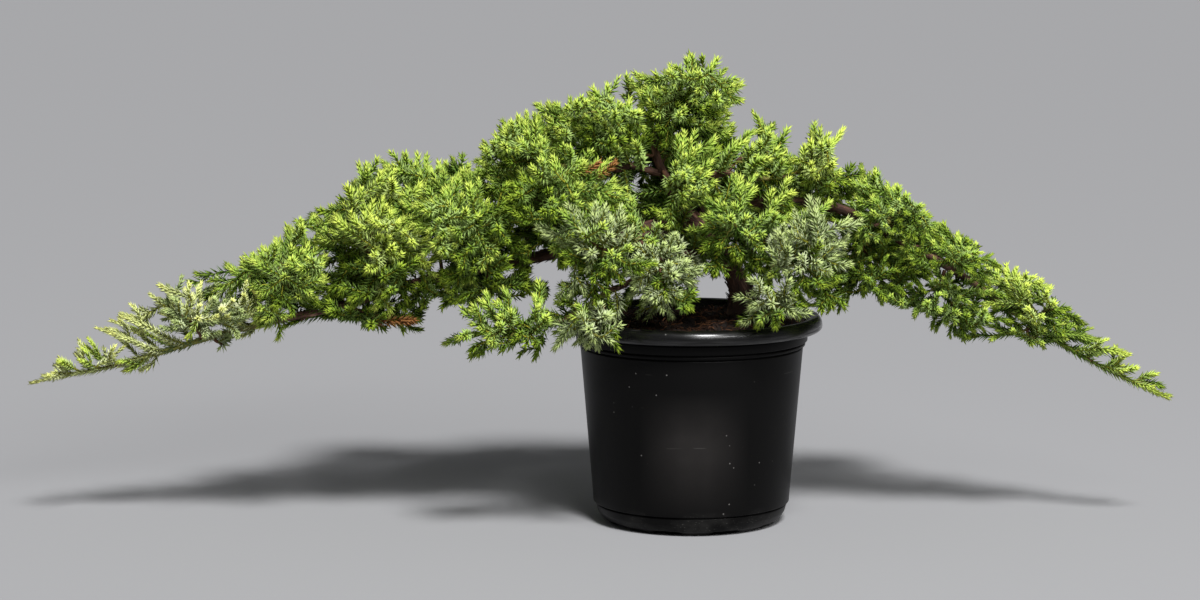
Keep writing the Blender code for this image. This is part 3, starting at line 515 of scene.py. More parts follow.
@dataclass
class Limb:
    """A trunk or bough: its path, its taper, and where along the path its own wood starts."""

    name: str
    path: Path
    root_radius: float
    tip_radius: float
    flare: float = 0.0
    start: float = 0.0
    TAPER_POWER = 0.85
    FLARE_SHARE = 0.20
    CLEARANCE = 0.0003
    ROOT_STEP = 0.001

    def radius(self, t: float) -> float:
        """Half the limb's thickness at t, with the flare at a rooted foot."""
        body = lerp(self.tip_radius, self.root_radius, (1.0 - t) ** self.TAPER_POWER)
        return body + self.flare * max(0.0, 1.0 - t / self.FLARE_SHARE) ** 2

    def samples(self, count: int) -> list[tuple[Vector, float]]:
        """Points and radii along the part of the limb that is built."""
        spots = [lerp(self.start, 1.0, k / (count - 1)) for k in range(count)]
        return [(self.path.at(t), self.radius(t)) for t in spots]

    def move_root_clear(self, carrier: "Limb") -> None:
        """Starts the limb's wood where the whole of its cut end is just clear of the limb that carries it.

        Args:
            carrier: The limb that carries it.
        """
        surface = carrier.samples(240)
        level = self.path.level()
        while True:
            radius = self.radius(self.start)
            end = ring(self.path.at(self.start), self.path.heading(self.start), [radius] * 8, level)
            if min((edge - spot).length - reach for edge in end for spot, reach in surface) > self.CLEARANCE:
                return
            self.start += self.ROOT_STEP


@dataclass(frozen=True)
class Bough:
    """Where one bough leaves the trunk and where it goes."""

    name: str
    trunk_share: float
    root_radius: float
    leave: Triple
    arrive: Triple
    tip: Triple


class Wood:
    """The trunk and the boughs that leave it."""

    FOOT = Vector((0.033, 0.012, 0.1305))
    RISE = Vector((0.0, 0.0, 0.050))
    ARRIVE = Vector((0.0, 0.0, 0.044))
    TIP = Vector((-0.0235, 0.010, 0.2420))
    FOOT_RADIUS = 0.0074
    TIP_RADIUS = 0.0016
    FLARE = 0.0050
    BOUGH_TIP_RADIUS = 0.0012
    CROOK = 0.0026
    TRUNK_TURN = 0.6
    BOUGH_TURN = 1.7
    STATION_GAP = 0.0016
    FOOT_CROWDING = 1.25
    LOBES = 5
    LOBE_DEPTH = 0.16
    SIDES = 22
    FEWEST_STATIONS = 12
    GRAIN_STEP = 3.0
    RIDGES = (90.0, 750.0, 0.10)
    LUMPS = (45.0, 160.0, 0.09)
    YOUNG_FROM = 0.66
    # How far up the trunk the painted shade at its foot reaches, as a share of the trunk's length.
    DAMP_TO = 0.34
    FLAKES_EACH = 60000.0
    FLAKE_TILTS = (-0.10, 0.24)
    FLAKE_ROLLS = (-0.25, 0.25)
    FLAKE_SCALES = (0.6, 2.0)
    FLAKE_ROWS = (
        (-0.0022, 0.0003, -0.0001, 0.00012),
        (0.0, 0.00055, 0.0, 0.00022),
        (0.0024, 0.00022, 0.0004, 0.00010),
    )
    BOUGHS = (
        Bough("bough_left", 0.56, 0.0044,
              (-0.110, -0.006, -0.031), (-0.123, -0.004, -0.038), (-0.352, -0.014, 0.104)),
        Bough("bough_right", 0.50, 0.0040,
              (0.094, -0.004, 0.042), (0.094, -0.006, -0.054), (0.245, -0.012, 0.107)),
        Bough("bough_shoulder", 0.80, 0.0024,
              (-0.028, -0.012, 0.012), (-0.034, 0.0, 0.006), (-0.092, -0.016, 0.229)),
        Bough("bough_crown_right", 0.72, 0.0024,
              (0.026, -0.004, 0.018), (0.030, 0.004, 0.004), (0.056, -0.004, 0.219)),
        Bough("bough_low_left", 0.30, 0.0026,
              (-0.022, -0.040, 0.018), (-0.030, -0.012, -0.016), (-0.078, -0.070, 0.139)),
        Bough("bough_front_left", 0.46, 0.0026,
              (-0.020, -0.030, 0.006), (-0.020, -0.026, -0.008), (-0.046, -0.062, 0.180)),
        Bough("bough_front_right", 0.40, 0.0026,
              (0.022, -0.030, 0.018), (0.016, -0.026, -0.012), (0.058, -0.060, 0.172)),
        Bough("bough_back_left", 0.50, 0.0030,
              (-0.032, 0.044, -0.006), (-0.052, 0.012, 0.004), (-0.142, 0.074, 0.186)),
        Bough("bough_back_right", 0.56, 0.0028,
              (0.040, 0.030, 0.018), (0.042, 0.016, -0.016), (0.116, 0.060, 0.176)),
        Bough("bough_back", 0.34, 0.0026,
              (-0.010, 0.034, 0.026), (-0.008, 0.030, -0.010), (-0.012, 0.078, 0.176)),
    )

    def __init__(self) -> None:
        """Works out every limb from the trunk up."""
        path = Path(self.FOOT, self.RISE, self.ARRIVE, self.TIP, self.CROOK, self.TRUNK_TURN)
        trunk = Limb("trunk", path, self.FOOT_RADIUS, self.TIP_RADIUS, self.FLARE)
        self.limbs = {"trunk": trunk}
        for k, bough in enumerate(self.BOUGHS):
            root = trunk.path.at(bough.trunk_share)
            leave, arrive, tip = (Vector(v) for v in (bough.leave, bough.arrive, bough.tip))
            path = Path(root, leave, arrive, tip, self.CROOK, self.BOUGH_TURN * k)
            limb = Limb(bough.name, path, bough.root_radius, self.BOUGH_TIP_RADIUS)
            limb.move_root_clear(trunk)
            self.limbs[bough.name] = limb

    def build(self, finish: Material) -> None:
        """Makes one piece of bark for each limb.

        Args:
            finish: The bark's material.
        """
        flake = thing("flake", self.flake())
        tree = self.flake_tree()
        for k, limb in enumerate(self.limbs.values()):
            mesh = self.loft(limb, self.GRAIN_STEP * k)
            values = {"Density": self.FLAKES_EACH, "Seed": k, "Flake": flake, "Finish": finish}
            put(f"{limb.name}_flakes", tree.grow(mesh.copy(), values), [], [])
            mesh.attributes.remove(mesh.attributes["course"])
            put(f"{limb.name}_bark", mesh, [finish], [limb.name])
        bpy.data.objects.remove(flake, do_unlink=True)

    def flake(self) -> Mesh:
        """A thin strip of bark that stands up Z, with its outer face towards +X and its upper end lifted."""
        rows = []
        for z, half, lift, thick in self.FLAKE_ROWS:
            corners = ((lift, -half), (lift + thick, 0.0), (lift, half), (lift - thick, 0.0))
            rows.append([Vector((x, y, z)) for x, y in corners])
        return skin("flake", rows, False)

    def flake_tree(self) -> "GrowTree":
        """The tree that lays flakes along the grain of a limb."""
        inputs = {"Density": "Float", "Seed": "Int", "Flake": "Object", "Finish": "Material"}
        tree = GrowTree("bark_flakes", inputs)
        seed = tree.given("Seed")
        points, normal, _ = tree.strew(seed)
        standing = tree.standing(tree.named("course", "FLOAT_VECTOR"), normal)
        tilt, roll = tree.chance(self.FLAKE_TILTS, seed), tree.chance(self.FLAKE_ROLLS, seed + 1.0)
        size = tree.chance(self.FLAKE_SCALES, seed + 2.0)
        flakes = tree.place(points, "Flake", tree.turned(standing, tilt, roll), size)
        return tree.close(tree.dress(flakes, "Finish"))

    def loft(self, limb: Limb, offset: float) -> Mesh:
        """The skin of a limb with the relief of its bark.

        Args:
            limb: The limb.
            offset: Where its own grain starts, so that no two limbs have the same.

        Returns:
            A closed mesh whose grain attribute runs along the limb and round it.
        """
        run = limb.path.span() * (1.0 - limb.start)
        count = max(self.FEWEST_STATIONS, round(run / self.STATION_GAP))
        level = limb.path.level()
        rows: list[list[Vector]] = []
        grain: list[Triple] = []
        for k in range(count + 1):
            t = lerp(limb.start, 1.0, (k / count) ** (self.FOOT_CROWDING if limb.flare else 1.0))
            lobes = self.LOBE_DEPTH * max(0.0, 1.0 - t / limb.FLARE_SHARE) if limb.flare else 0.0
            base = limb.radius(t)
            radii = []
            for j in range(self.SIDES):
                angle = 2 * pi * j / self.SIDES
                place = (offset + t * run, cos(angle) * base, sin(angle) * base)
                radii.append(base * (1.0 + lobes * cos(self.LOBES * angle)) + self.relief(place, base))
                grain.append(place)
            heading = UP if k == 0 and limb.flare else limb.path.heading(t)
            rows.append(ring(limb.path.at(t), heading, radii, level))
        mesh = skin(limb.name, rows, True)
        keep(mesh, "grain", [*grain, grain[0], grain[-1]], "FLOAT_VECTOR")
        shares = [lerp(limb.start, 1.0, k / count) for k in range(count + 1)]
        reach = 1.0 - self.YOUNG_FROM
        young = [0.0 if limb.flare else max(0.0, (t - self.YOUNG_FROM) / reach) for t in shares]
        # Painted shade at the trunk's foot: 1 at the foot, fading to 0 up the trunk.
        damp = [max(0.0, 1.0 - t / self.DAMP_TO) if limb.flare else 0.0 for t in shares]
        course = [limb.path.heading(t) for t in shares]
        for name, values in (("young", young), ("damp", damp), ("course", course)):
            kind = "FLOAT_VECTOR" if name == "course" else "FLOAT"
            keep(mesh, name, [v for v in values for _ in range(self.SIDES)] + [values[0], values[-1]], kind)
        return mesh

    def relief(self, place: Triple, radius: float) -> float:
        """How far the bark stands out at a place of its grain."""
        x, y, z = place
        return radius * sum(
            height * noise.noise(Vector((x * along, y * across, z * across)))
            for along, across, height in (self.RIDGES, self.LUMPS)
        )


# Pieces


def skin(name: str, rows: list[list[Vector]], closed: bool) -> Mesh:
    """A mesh through rows of points, each row a loop.

    Args:
        name: The mesh's name.
        rows: The loops, all with the same number of points.
        closed: Whether a fan of faces closes the first and the last loop.

    Returns:
        The mesh, its faces outwards.
    """
    shape = bmesh.new()
    loops = [[shape.verts.new(p) for p in row] for row in rows]
    sides = len(rows[0])
    for lower, upper in zip(loops, loops[1:]):
        for j in range(sides):
            nxt = (j + 1) % sides
            shape.faces.new((lower[j], lower[nxt], upper[nxt], upper[j]))
    if closed:
        for loop in (loops[0], loops[-1]):
            middle = shape.verts.new(sum((v.co for v in loop), NOWHERE) / sides)
            for j in range(sides):
                shape.faces.new((loop[j], loop[(j + 1) % sides], middle))
    bmesh.ops.recalc_face_normals(shape, faces=shape.faces)
    mesh = bpy.data.meshes.new(name)
    shape.to_mesh(mesh)
    shape.free()
    mesh.shade_smooth()
    mesh.set_sharp_from_angle(angle=SHARP_ANGLE)
    return mesh


def keep(mesh: Mesh, name: str, values: list, kind: str = "FLOAT", domain: str = "POINT") -> None:
    """Keeps a number or a vector on each point or face of a mesh under a name."""
    numbers = np.array(values, dtype=np.float32).ravel()
    layer = mesh.attributes.new(name, kind, domain)
    layer.data.foreach_set("value" if kind == "FLOAT" else "vector", numbers)


def thing(name: str, data: bpy.types.ID) -> Object:
    """An object of the scene that holds a mesh, a light or a camera."""
    held = bpy.data.objects.new(name, data)
    bpy.context.scene.collection.objects.link(held)
    return held


def put(name: str, mesh: Mesh, finishes: list[Material], stands_for: list[str]) -> Object:
    """Makes a finished piece of a mesh.

    Args:
        name: The piece's name.
        mesh: Its mesh, already in place.
        finishes: Its materials, or none where the mesh has them.
        stands_for: The solids that it stands for.

    Returns:
        The piece.
    """
    for finish in finishes:
        mesh.materials.append(finish)
    piece = thing(name, mesh)
    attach(piece, BODY)
    if stands_for:
        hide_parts(*stands_for)
    mesh.calc_loop_triangles()
    LOG.info("%s: %d triangles", name, len(mesh.loop_triangles))
    return piece


class GrowTree(NodeMaker):
    """A Geometry Nodes tree with named inputs."""

    LAYERS = ("along", "age", "whorl", "size", "spread", "thick", "pale", "course", "odd")

    def __init__(self, name: str, inputs: dict[str, str]) -> None:
        """Starts a tree with a kind of socket for each named input.

        Args:
            name: The tree's name.
            inputs: The kind of socket of each named input.
        """
        super().__init__(bpy.data.node_groups.new(name, "GeometryNodeTree"))
        sockets = self.tree.interface
        sockets.new_socket("Geometry", in_out="INPUT", socket_type="NodeSocketGeometry")
        sockets.new_socket("Geometry", in_out="OUTPUT", socket_type="NodeSocketGeometry")
        self.keys = {
            label: sockets.new_socket(label, in_out="INPUT", socket_type=f"NodeSocket{kind}").identifier
            for label, kind in inputs.items()
        }
        self.entry = self.tree.nodes.new("NodeGroupInput")

    def given(self, name: str = "Geometry") -> Wire:
        """One of the tree's inputs."""
        return Wire(self, self.entry.outputs[name])

    def store(self, shape: Wire, name: str, value: Wire | float) -> Wire:
        """Keeps a number on each point under a name."""
        settings = {"data_type": "FLOAT", "domain": "POINT"}
        return self.add("GeometryNodeStoreNamedAttribute", settings, {0: shape, 2: name, 3: value})

    def named(self, name: str, kind: str = "FLOAT") -> Wire:
        """A number or vector kept under a name."""
        return self.add("GeometryNodeInputNamedAttribute", {"data_type": kind}, {"Name": name})

    def chance(self, span: Span, seed: Wire) -> Wire:
        """A random number of a span for each point."""
        values = {2: span[0], 3: span[1], 8: seed}
        return self.add("FunctionNodeRandomValue", {"data_type": "FLOAT"}, values, output=1)

    def strew(self, seed: Wire) -> list[Wire]:
        """Points strewn over the surface as densely as the input says, their normals and their rotations."""
        values = {"Mesh": self.given(), "Density": self.given("Density"), "Seed": seed}
        spots = self.raw("GeometryNodeDistributePointsOnFaces", None, values)
        return [Wire(self, spots.outputs[k]) for k in range(3)]

    def standing(self, along: Wire, out: Wire) -> Wire:
        """A rotation that turns Z along one vector and X towards another."""
        settings = {"primary_axis": "Z", "secondary_axis": "X"}
        return self.add("FunctionNodeAxesToRotation", settings, {0: along, 1: out})

    def turned(self, frame: Wire, tilt: Wire | float, roll: Wire | float) -> Wire:
        """A rotation rolled about its own Z axis and then tilted about its own Y axis."""
        angles = self.add("ShaderNodeCombineXYZ", values={1: tilt, 2: roll})
        euler = self.add("FunctionNodeEulerToRotation", values={0: angles})
        return self.add("FunctionNodeRotateRotation", {"rotation_space": "LOCAL"}, {0: frame, 1: euler})

    def place(self, points: Wire, shape: str, rotation: Wire, scale: Wire) -> Wire:
        """A copy of the object of one input on every point, made real."""
        model = self.add("GeometryNodeObjectInfo", values={0: self.given(shape)}, output="Geometry")
        values = {0: points, 2: model, 5: rotation, 6: scale}
        copies = self.add("GeometryNodeInstanceOnPoints", values=values)
        return self.add("GeometryNodeRealizeInstances", values={0: copies})

    def dress(self, shape: Wire, finish: str, where: Wire | None = None) -> Wire:
        """Gives faces the material of one input."""
        values = {0: shape, 2: self.given(finish)}
        if where is not None:
            values[1] = where
        return self.add("GeometryNodeSetMaterial", values=values)

    def close(self, shape: Wire) -> "GrowTree":
        """Ends the tree."""
        self.raw("NodeGroupOutput", values={"Geometry": shape})
        return self

    def grow(self, base: Mesh, values: dict) -> Mesh:
        """Runs the tree on a mesh.

        Args:
            base: The mesh that it starts from.
            values: The value of each named input.

        Returns:
            What it makes, as a plain mesh.
        """
        holder = thing(base.name, base)
        modifier = holder.modifiers.new("grow", "NODES")
        modifier.node_group = self.tree
        for label, value in values.items():
            modifier[self.keys[label]] = value
        grown = holder.evaluated_get(bpy.context.evaluated_depsgraph_get())
        mesh = bpy.data.meshes.new_from_object(grown)
        bpy.data.objects.remove(holder, do_unlink=True)
        for layer in self.LAYERS:
            if layer in mesh.attributes:
                mesh.attributes.remove(mesh.attributes[layer])
        return mesh


# Pot and compost


def softened(profile: list[Span], radius: float, steps: int) -> list[Span]:
    """A profile with every inner corner rounded.

    Args:
        profile: Pairs of radius and height.
        radius: How far from the corner the rounding starts, at most.
        steps: How many points each rounded corner has.

    Returns:
        The rounded profile.
    """
    most = 0.45
    points = [Vector(p) for p in profile]
    out = [points[0]]
    for before, corner, after in zip(points, points[1:], points[2:]):
        back, ahead = before - corner, after - corner
        start = corner + back.normalized() * min(radius, back.length * most)
        end = corner + ahead.normalized() * min(radius, ahead.length * most)
        for k in range(steps):
            share = k / (steps - 1)
            out.append(start.lerp(corner, share).lerp(corner.lerp(end, share), share))
    return [tuple(p) for p in (*out, points[-1])]


@dataclass
class Pot:
    """A black nursery pot: a lathe-turned shell with a rolled lip, two steps, a skirt and an arched foot."""

    height: float = 0.132
    rim_radius: float = 0.0825
    lip_inner_radius: float = 0.0755
    lip_height: float = 0.0092
    lip_across: float = 0.0042
    lip_down: float = 0.0062
    lip_step: float = 15.0
    lip_round: float = 0.0016
    lip_inner_drop: float = 0.0006
    lip_underside: Span = (0.0006, 0.0034)
    collar_radius: float = 0.0732
    collar_height: float = 0.0068
    step_radius: float = 0.0718
    step_height: float = 0.0030
    wall_top_radius: float = 0.0704
    wall_foot_radius: float = 0.0622
    wall_thickness: float = 0.0018
    skirt_height: float = 0.0130
    skirt_radius: float = 0.0608
    skirt_taper: float = 0.0012
    skirt_waist: float = 0.55
    wall_curl: Span = (0.0004, 0.0060)
    base_radius: float = 0.0525
    floor_thickness: float = 0.0020
    floor_hub: float = 0.020
    arch_count: int = 9
    arch_width: float = 0.0210
    arch_height: float = 0.0032
    arch_inner: float = 0.0495
    arch_turn: float = radians(12.0)
    segments: int = 216
    edge_round: float = 0.0005
    edge_steps: int = 4
    groove: float = 0.0008
    seam: float = 0.0001
    COLLAR_DROPS = (0.0, 0.0010, 0.0016)
    STEP_DROPS = (0.0002, 0.0009, 0.0014)
    WALL_DROPS = (0.0002, 0.0009, 0.0015)
    SKIRT_DROPS = (0.0003, 0.0009, 0.0015)

    def below(self, radius: float, level: float, drops: Triple) -> list[Span]:
        """A groove under an edge at a level, then the top of the wall below it."""
        radii = (radius - self.groove, radius - self.groove, radius)
        return [(r, level - drop) for r, drop in zip(radii, drops)]

    def outer(self) -> list[Span]:
        """Radius and height down the outer side, from the lip's inner edge to the base."""
        lip_foot = self.height - self.lip_height
        collar_foot = lip_foot - self.collar_height
        step_foot = collar_foot - self.step_height
        turn = [radians(90.0 - self.lip_step * k) for k in range(7)]
        middle, level = self.rim_radius - self.lip_across, self.height - self.lip_down
        lip = [(middle + self.lip_across * cos(a), level + self.lip_down * sin(a)) for a in turn]
        return [
            (self.lip_inner_radius, self.height - self.lip_inner_drop),
            *lip,
            (self.rim_radius, lip_foot + self.lip_round),
            (self.rim_radius - self.lip_round, lip_foot),
            *self.below(self.collar_radius, lip_foot, self.COLLAR_DROPS),
            (self.collar_radius, collar_foot),
            *self.below(self.step_radius, collar_foot, self.STEP_DROPS),
            (self.step_radius, step_foot),
            *self.below(self.wall_top_radius, step_foot, self.WALL_DROPS),
            (self.wall_foot_radius + self.wall_curl[0], self.skirt_height + self.wall_curl[1]),
            (self.wall_foot_radius, self.skirt_height),
            *self.below(self.skirt_radius, self.skirt_height, self.SKIRT_DROPS),
            (self.skirt_radius - self.skirt_taper, self.skirt_waist * self.skirt_height),
            (lerp(self.base_radius, self.skirt_radius, self.skirt_waist), self.skirt_height / 4),
            (self.base_radius, 0.0),
        ]

    def inner(self) -> list[Span]:
        """Radius and height up the inside, from the middle of the floor to the lip."""
        neck = self.height - self.lip_height - self.collar_height - self.step_height
        wall = self.wall_thickness
        return [
            (self.base_radius - wall, self.floor_thickness),
            (lerp(self.base_radius, self.skirt_radius, self.skirt_waist) - wall, self.skirt_height / 3),
            (self.skirt_radius - self.skirt_taper - wall, self.skirt_waist * self.skirt_height),
            (self.wall_foot_radius - wall, self.skirt_height + self.step_height),
            (self.wall_top_radius - wall, neck),
            (self.step_radius - wall, neck + self.step_height),
            (self.collar_radius - wall, self.height - self.lip_height),
            (self.collar_radius + self.lip_underside[0], self.height - self.lip_underside[1]),
        ]

    def arch(self, radius: float, angle: float) -> float:
        """How high the foot is notched at a radius and an angle.

        Args:
            radius: The distance from the pot's axis.
            angle: The turn round it, from +X.

        Returns:
            The height, 0 where the foot stands.
        """
        if radius < self.arch_inner:
            return 0.0
        curve = (self.arch_width**2 / 4 + self.arch_height**2) / (2 * self.arch_height)
        pitch = 2 * pi / self.arch_count
        off = (angle - self.arch_turn + pitch / 2) % pitch - pitch / 2
        aside = radius * sin(off)
        return max(0.0, sqrt(max(0.0, curve**2 - aside**2)) + self.arch_height - curve)

    def build(self, finish: Material) -> None:
        """Makes the pot.

        Args:
            finish: Its material.
        """
        sides = softened(self.inner() + self.outer(), self.edge_round, self.edge_steps)
        inner = self.arch_inner
        foot = [(radius, 0.0) for radius in (inner + self.seam, inner - self.seam, self.floor_hub)]
        turns = [2 * pi * k / self.segments for k in range(self.segments)]
        rows = []
        for radius, height in [(self.floor_hub, self.floor_thickness), *sides, *foot]:
            notched = height < self.arch_height
            lifts = [max(height, self.arch(radius, a)) if notched else height for a in turns]
            flat = [(radius * cos(a), radius * sin(a)) for a in turns]
            rows.append([Vector((*spot, z)) for spot, z in zip(flat, lifts)])
        put("pot_shell", skin("pot_shell", rows, True), [finish], ["pot"])


@dataclass(frozen=True)
class Litter:
    """One kind of litter: how densely it lies, how far from the wall, and its dark and light colours."""

    name: str
    density: float
    clear_loops: int
    seed: int
    dark: Rgb
    light: Rgb


@dataclass
class Compost:
    """The bark compost that fills the pot: a lumpy surface strewn with chips and fibres."""

    pot: Pot
    foot: Vector
    edge_height: float = 0.1262
    mound: float = 0.0040
    seat_radius: float = 0.0190
    mound_reach: float = 0.045
    bump: float = 0.0011
    bumps_begin: float = 0.012
    clearance: float = 0.0003
    rings: int = 46
    calm_rings: int = 3
    segments: int = 150
    crumb_waves: float = 210.0
    crumb_height: float = 0.0017
    lump_waves: float = 60.0
    lump_height: float = 0.0013
    litter_inset: float = 0.0040
    plain_share: float = 0.22
    odd_above: float = 0.70
    BUMP_WAVES = ((170, 40, 0.5), (-90, 130, 1.9))
    LITTER_TILTS = (-0.75, 0.75)
    LITTER_SCALES = (0.45, 1.35)
    CHIP_ROWS = ((-0.0028, 0.0008, 0.0004), (-0.0008, 0.0016, 0.0008), (0.0027, 0.0010, 0.0005))
    ROOT_ENDS = (-0.0045, 0.0045)
    ROOT_SWAYS = ((0.0, 0.0011, 5.0), (0.0006, 0.0007, 4.0))
    ROOT_RADIUS = 0.00028
    ROOT_JOINTS = 7
    ROOT_CORNERS = (0.0, 2.1, 4.2)
    FILL = CompostFinish("compost", (0.0030, 0.0017, 0.0013), (0.020, 0.0085, 0.0048))
    KINDS = (
        Litter("bark_chips", 70000.0, 0, 7, (0.0032, 0.0018, 0.0013), (0.046, 0.020, 0.011)),
        Litter("fine_roots", 60000.0, 3, 8, (0.0100, 0.0040, 0.0024), (0.420, 0.180, 0.080)),
    )

    def height(self, x: float, y: float) -> float:
        """The height of the compost at a place: a low mound round the trunk's foot, uneven elsewhere."""
        off_seat = max(0.0, hypot(x - self.foot.x, y - self.foot.y) - self.seat_radius)
        mound = self.mound * (1.0 - min(1.0, off_seat / self.mound_reach)) ** 2
        bumps = sum(sin(a * x + b * y + c) for a, b, c in self.BUMP_WAVES)
        return self.edge_height + mound + self.bump * bumps * min(1.0, off_seat / self.bumps_begin)

    def sides(self) -> list[Vector]:
        """The direction of each point of a loop."""
        turns = [2 * pi * k / self.segments for k in range(self.segments)]
        return [Vector((cos(a), sin(a), 0.0)) for a in turns]

    def surface(self) -> Mesh:
        """The fill with its lumpy top."""
        wall = self.pot.inner()[:-1]
        wall[0] = (wall[0][0], self.pot.floor_thickness + self.clearance)
        rows = [[side * (r - self.clearance) + UP * z for side in self.sides()] for r, z in wall]
        return skin("compost_fill", rows + self.top(self.clearance), True)

    def top(self, inset: float) -> list[list[Vector]]:
        """The loops of the lumpy top, from an inset off the pot's wall inwards.

        Args:
            inset: The gap between the wall and the first loop.

        Returns:
            The loops, the outermost first.
        """
        edge = self.pot.collar_radius - self.pot.wall_thickness - inset
        rows = []
        middle = Vector((self.foot.x, self.foot.y, 0.0))
        for k in range(self.rings):
            share = 1.0 - k / self.rings
            row = []
            for side in self.sides():
                spot = middle.lerp(side * edge, share)
                crumbs = noise.fractal(spot * self.crumb_waves, 1.0, 2.0, 5)
                lumps = noise.noise(spot * self.lump_waves)
                relief = self.crumb_height * crumbs + self.lump_height * lumps
                spot.z = self.height(spot.x, spot.y) + relief * min(1.0, k / self.calm_rings)
                row.append(spot)
            rows.append(row)
        return rows

    def build(self) -> None:
        """Makes the fill and strews it with chips and fine roots."""
        put("compost_fill", self.surface(), [self.FILL.material()], ["soil"])
        tree = self.litter_tree()
        for kind, shape in zip(self.KINDS, (self.chip(), self.root())):
            dull = tuple(lerp(a, b, self.plain_share) for a, b in zip(kind.dark, kind.light))
            plain = CompostFinish(kind.name, kind.dark, dull).material()
            odd = CompostFinish(f"{kind.name}_pale", kind.dark, kind.light).material()
            model = thing(kind.name, shape)
            base = skin(kind.name, self.top(self.litter_inset)[kind.clear_loops :], False)
            values = {"Density": kind.density, "Seed": kind.seed, "Shape": model, "Plain": plain, "Odd": odd}
            put(kind.name, tree.grow(base, values), [], [])
            bpy.data.objects.remove(model, do_unlink=True)

    def litter_tree(self) -> GrowTree:
        """The tree that strews a shape over a surface."""
        inputs = {"Density": "Float", "Seed": "Int", "Shape": "Object"}
        tree = GrowTree("litter", inputs | {"Plain": "Material", "Odd": "Material"})
        seed = tree.given("Seed")
        points, _, rotation = tree.strew(seed)
        tilt, roll = tree.chance(self.LITTER_TILTS, seed), tree.chance((0.0, 2 * pi), seed + 1.0)
        turned = tree.turned(rotation, tilt, roll)
        points = tree.store(points, "odd", tree.chance((0.0, 1.0), seed + 2.0))
        shapes = tree.place(points, "Shape", turned, tree.chance(self.LITTER_SCALES, seed + 3.0))
        shapes = tree.dress(shapes, "Plain")
        return tree.close(tree.dress(shapes, "Odd", tree.named("odd").above(self.odd_above)))

    def chip(self) -> Mesh:
        """A flat angular chip of bark that lies along X."""
        signs = ((-1, -1), (1, -1), (1, 1), (-1, 1))
        rows = [[Vector((x, a * wide, b * thick)) for a, b in signs] for x, wide, thick in self.CHIP_ROWS]
        return skin("chip", rows, True)

    def root(self) -> Mesh:
        """A crooked strand that lies along X and thins to half."""
        rows = []
        for k in range(self.ROOT_JOINTS):
            share = k / (self.ROOT_JOINTS - 1)
            sways = (level + swing * sin(pace * share) for level, swing, pace in self.ROOT_SWAYS)
            spot = Vector((lerp(*self.ROOT_ENDS, share), *sways))
            thick = self.ROOT_RADIUS * (1.0 - 0.5 * share)
            rows.append([spot + Vector((0.0, cos(a), sin(a))) * thick for a in self.ROOT_CORNERS])
        return skin("root", rows, True)


# Foliage


@dataclass
class Pad:
    """A mass of foliage: the limb it grows on, the ellipsoid it keeps to and the way its shoots lean."""

    name: str
    limb: Limb
    station: float
    centre: Vector
    along: Vector
    half: tuple
    lean: Vector
    tone: str

    def axes(self) -> tuple[Vector, Vector, Vector]:
        """The ellipsoid's three unit directions: along the bough, across it and up."""
        first = self.along.normalized()
        across = UP.cross(first).normalized()
        return first, across, first.cross(across)

    def place(self, unit: Vector) -> Vector:
        """A point of the unit ball moved into the ellipsoid."""
        return self.centre + sum((a * (u * h) for a, u, h in zip(self.axes(), unit, self.half)), NOWHERE)

    def depth(self, points: np.ndarray) -> np.ndarray:
        """0 at the pad's middle and 1 at its edge, for each point."""
        shares = (points - np.array(self.centre)) @ np.array(self.axes()).T / np.array(self.half)
        return np.linalg.norm(shares, axis=-1)

    def outward(self, point: Vector) -> Vector:
        """The ellipsoid's outward direction at a point."""
        offset = point - self.centre
        return sum((a * (offset.dot(a) / h**2) for a, h in zip(self.axes(), self.half)), NOWHERE).normalized()

    def room(self, direction: Vector) -> float:
        """How far the ellipsoid runs from its middle in a direction."""
        return 1.0 / sqrt(sum((direction.dot(a) / h) ** 2 for a, h in zip(self.axes(), self.half)))

    def volume(self) -> float:
        """The ellipsoid's volume."""
        return 4.0 / 3.0 * pi * self.half[0] * self.half[1] * self.half[2]


@dataclass(frozen=True)
class Row:
    """A row of pads along a bough, evenly spaced, each fitted between the limb and the crown's outline."""

    limb: str
    label: str
    side: int
    place: float
    count: int
    span: Span
    height: Span
    uprightness: Span
    tones: tuple[str, ...]


@dataclass(frozen=True)
class Tuft:
    """A single pad placed by its middle and half sizes: along X, along Y and up."""

    label: str
    limb: str
    station: float
    tone: str
    middle: Triple
    half: Triple
    lean: Triple


@dataclass
class Shoot:
    """A needled shoot: its path, its size against full size, its looks and where its needles start."""

    path: Path
    size: float
    tint: Tint
    habit: Habit
    pad: Pad
    start: float = 0.0
    end: float = 1.0
    ages: Span = (0.0, 1.0)
    stem: bool = True
    MIDDLE = 0.7

    def joints(self) -> int:
        """How many points its line has."""
        return 7 if self.stem else 9

    def middle(self) -> Vector:
        """The place that stands for the whole shoot."""
        return self.path.at(self.MIDDLE)


class Crowd:
    """The places that shoots hold, in cells as wide as the spacing between them."""

    def __init__(self, cell: float) -> None:
        """Starts with no shoots."""
        self.cell = cell
        self.held: dict[tuple[int, int, int], list[Vector]] = {}

    def key(self, point: Vector) -> tuple[int, int, int]:
        """The cell of a point."""
        return tuple(int(floor(c / self.cell)) for c in point)

    def near(self, point: Vector, spacing: float) -> bool:
        """True where a shoot is nearer than the spacing."""
        i, j, k = self.key(point)
        for cell in ((i + a, j + b, k + c) for a in (-1, 0, 1) for b in (-1, 0, 1) for c in (-1, 0, 1)):
            if any((point - other).length < spacing for other in self.held.get(cell, ())):
                return True
        return False

    def hold(self, points: list[Vector]) -> None:
        """Keeps the points of a new shoot."""
        for point in points:
            self.held.setdefault(self.key(point), []).append(point)


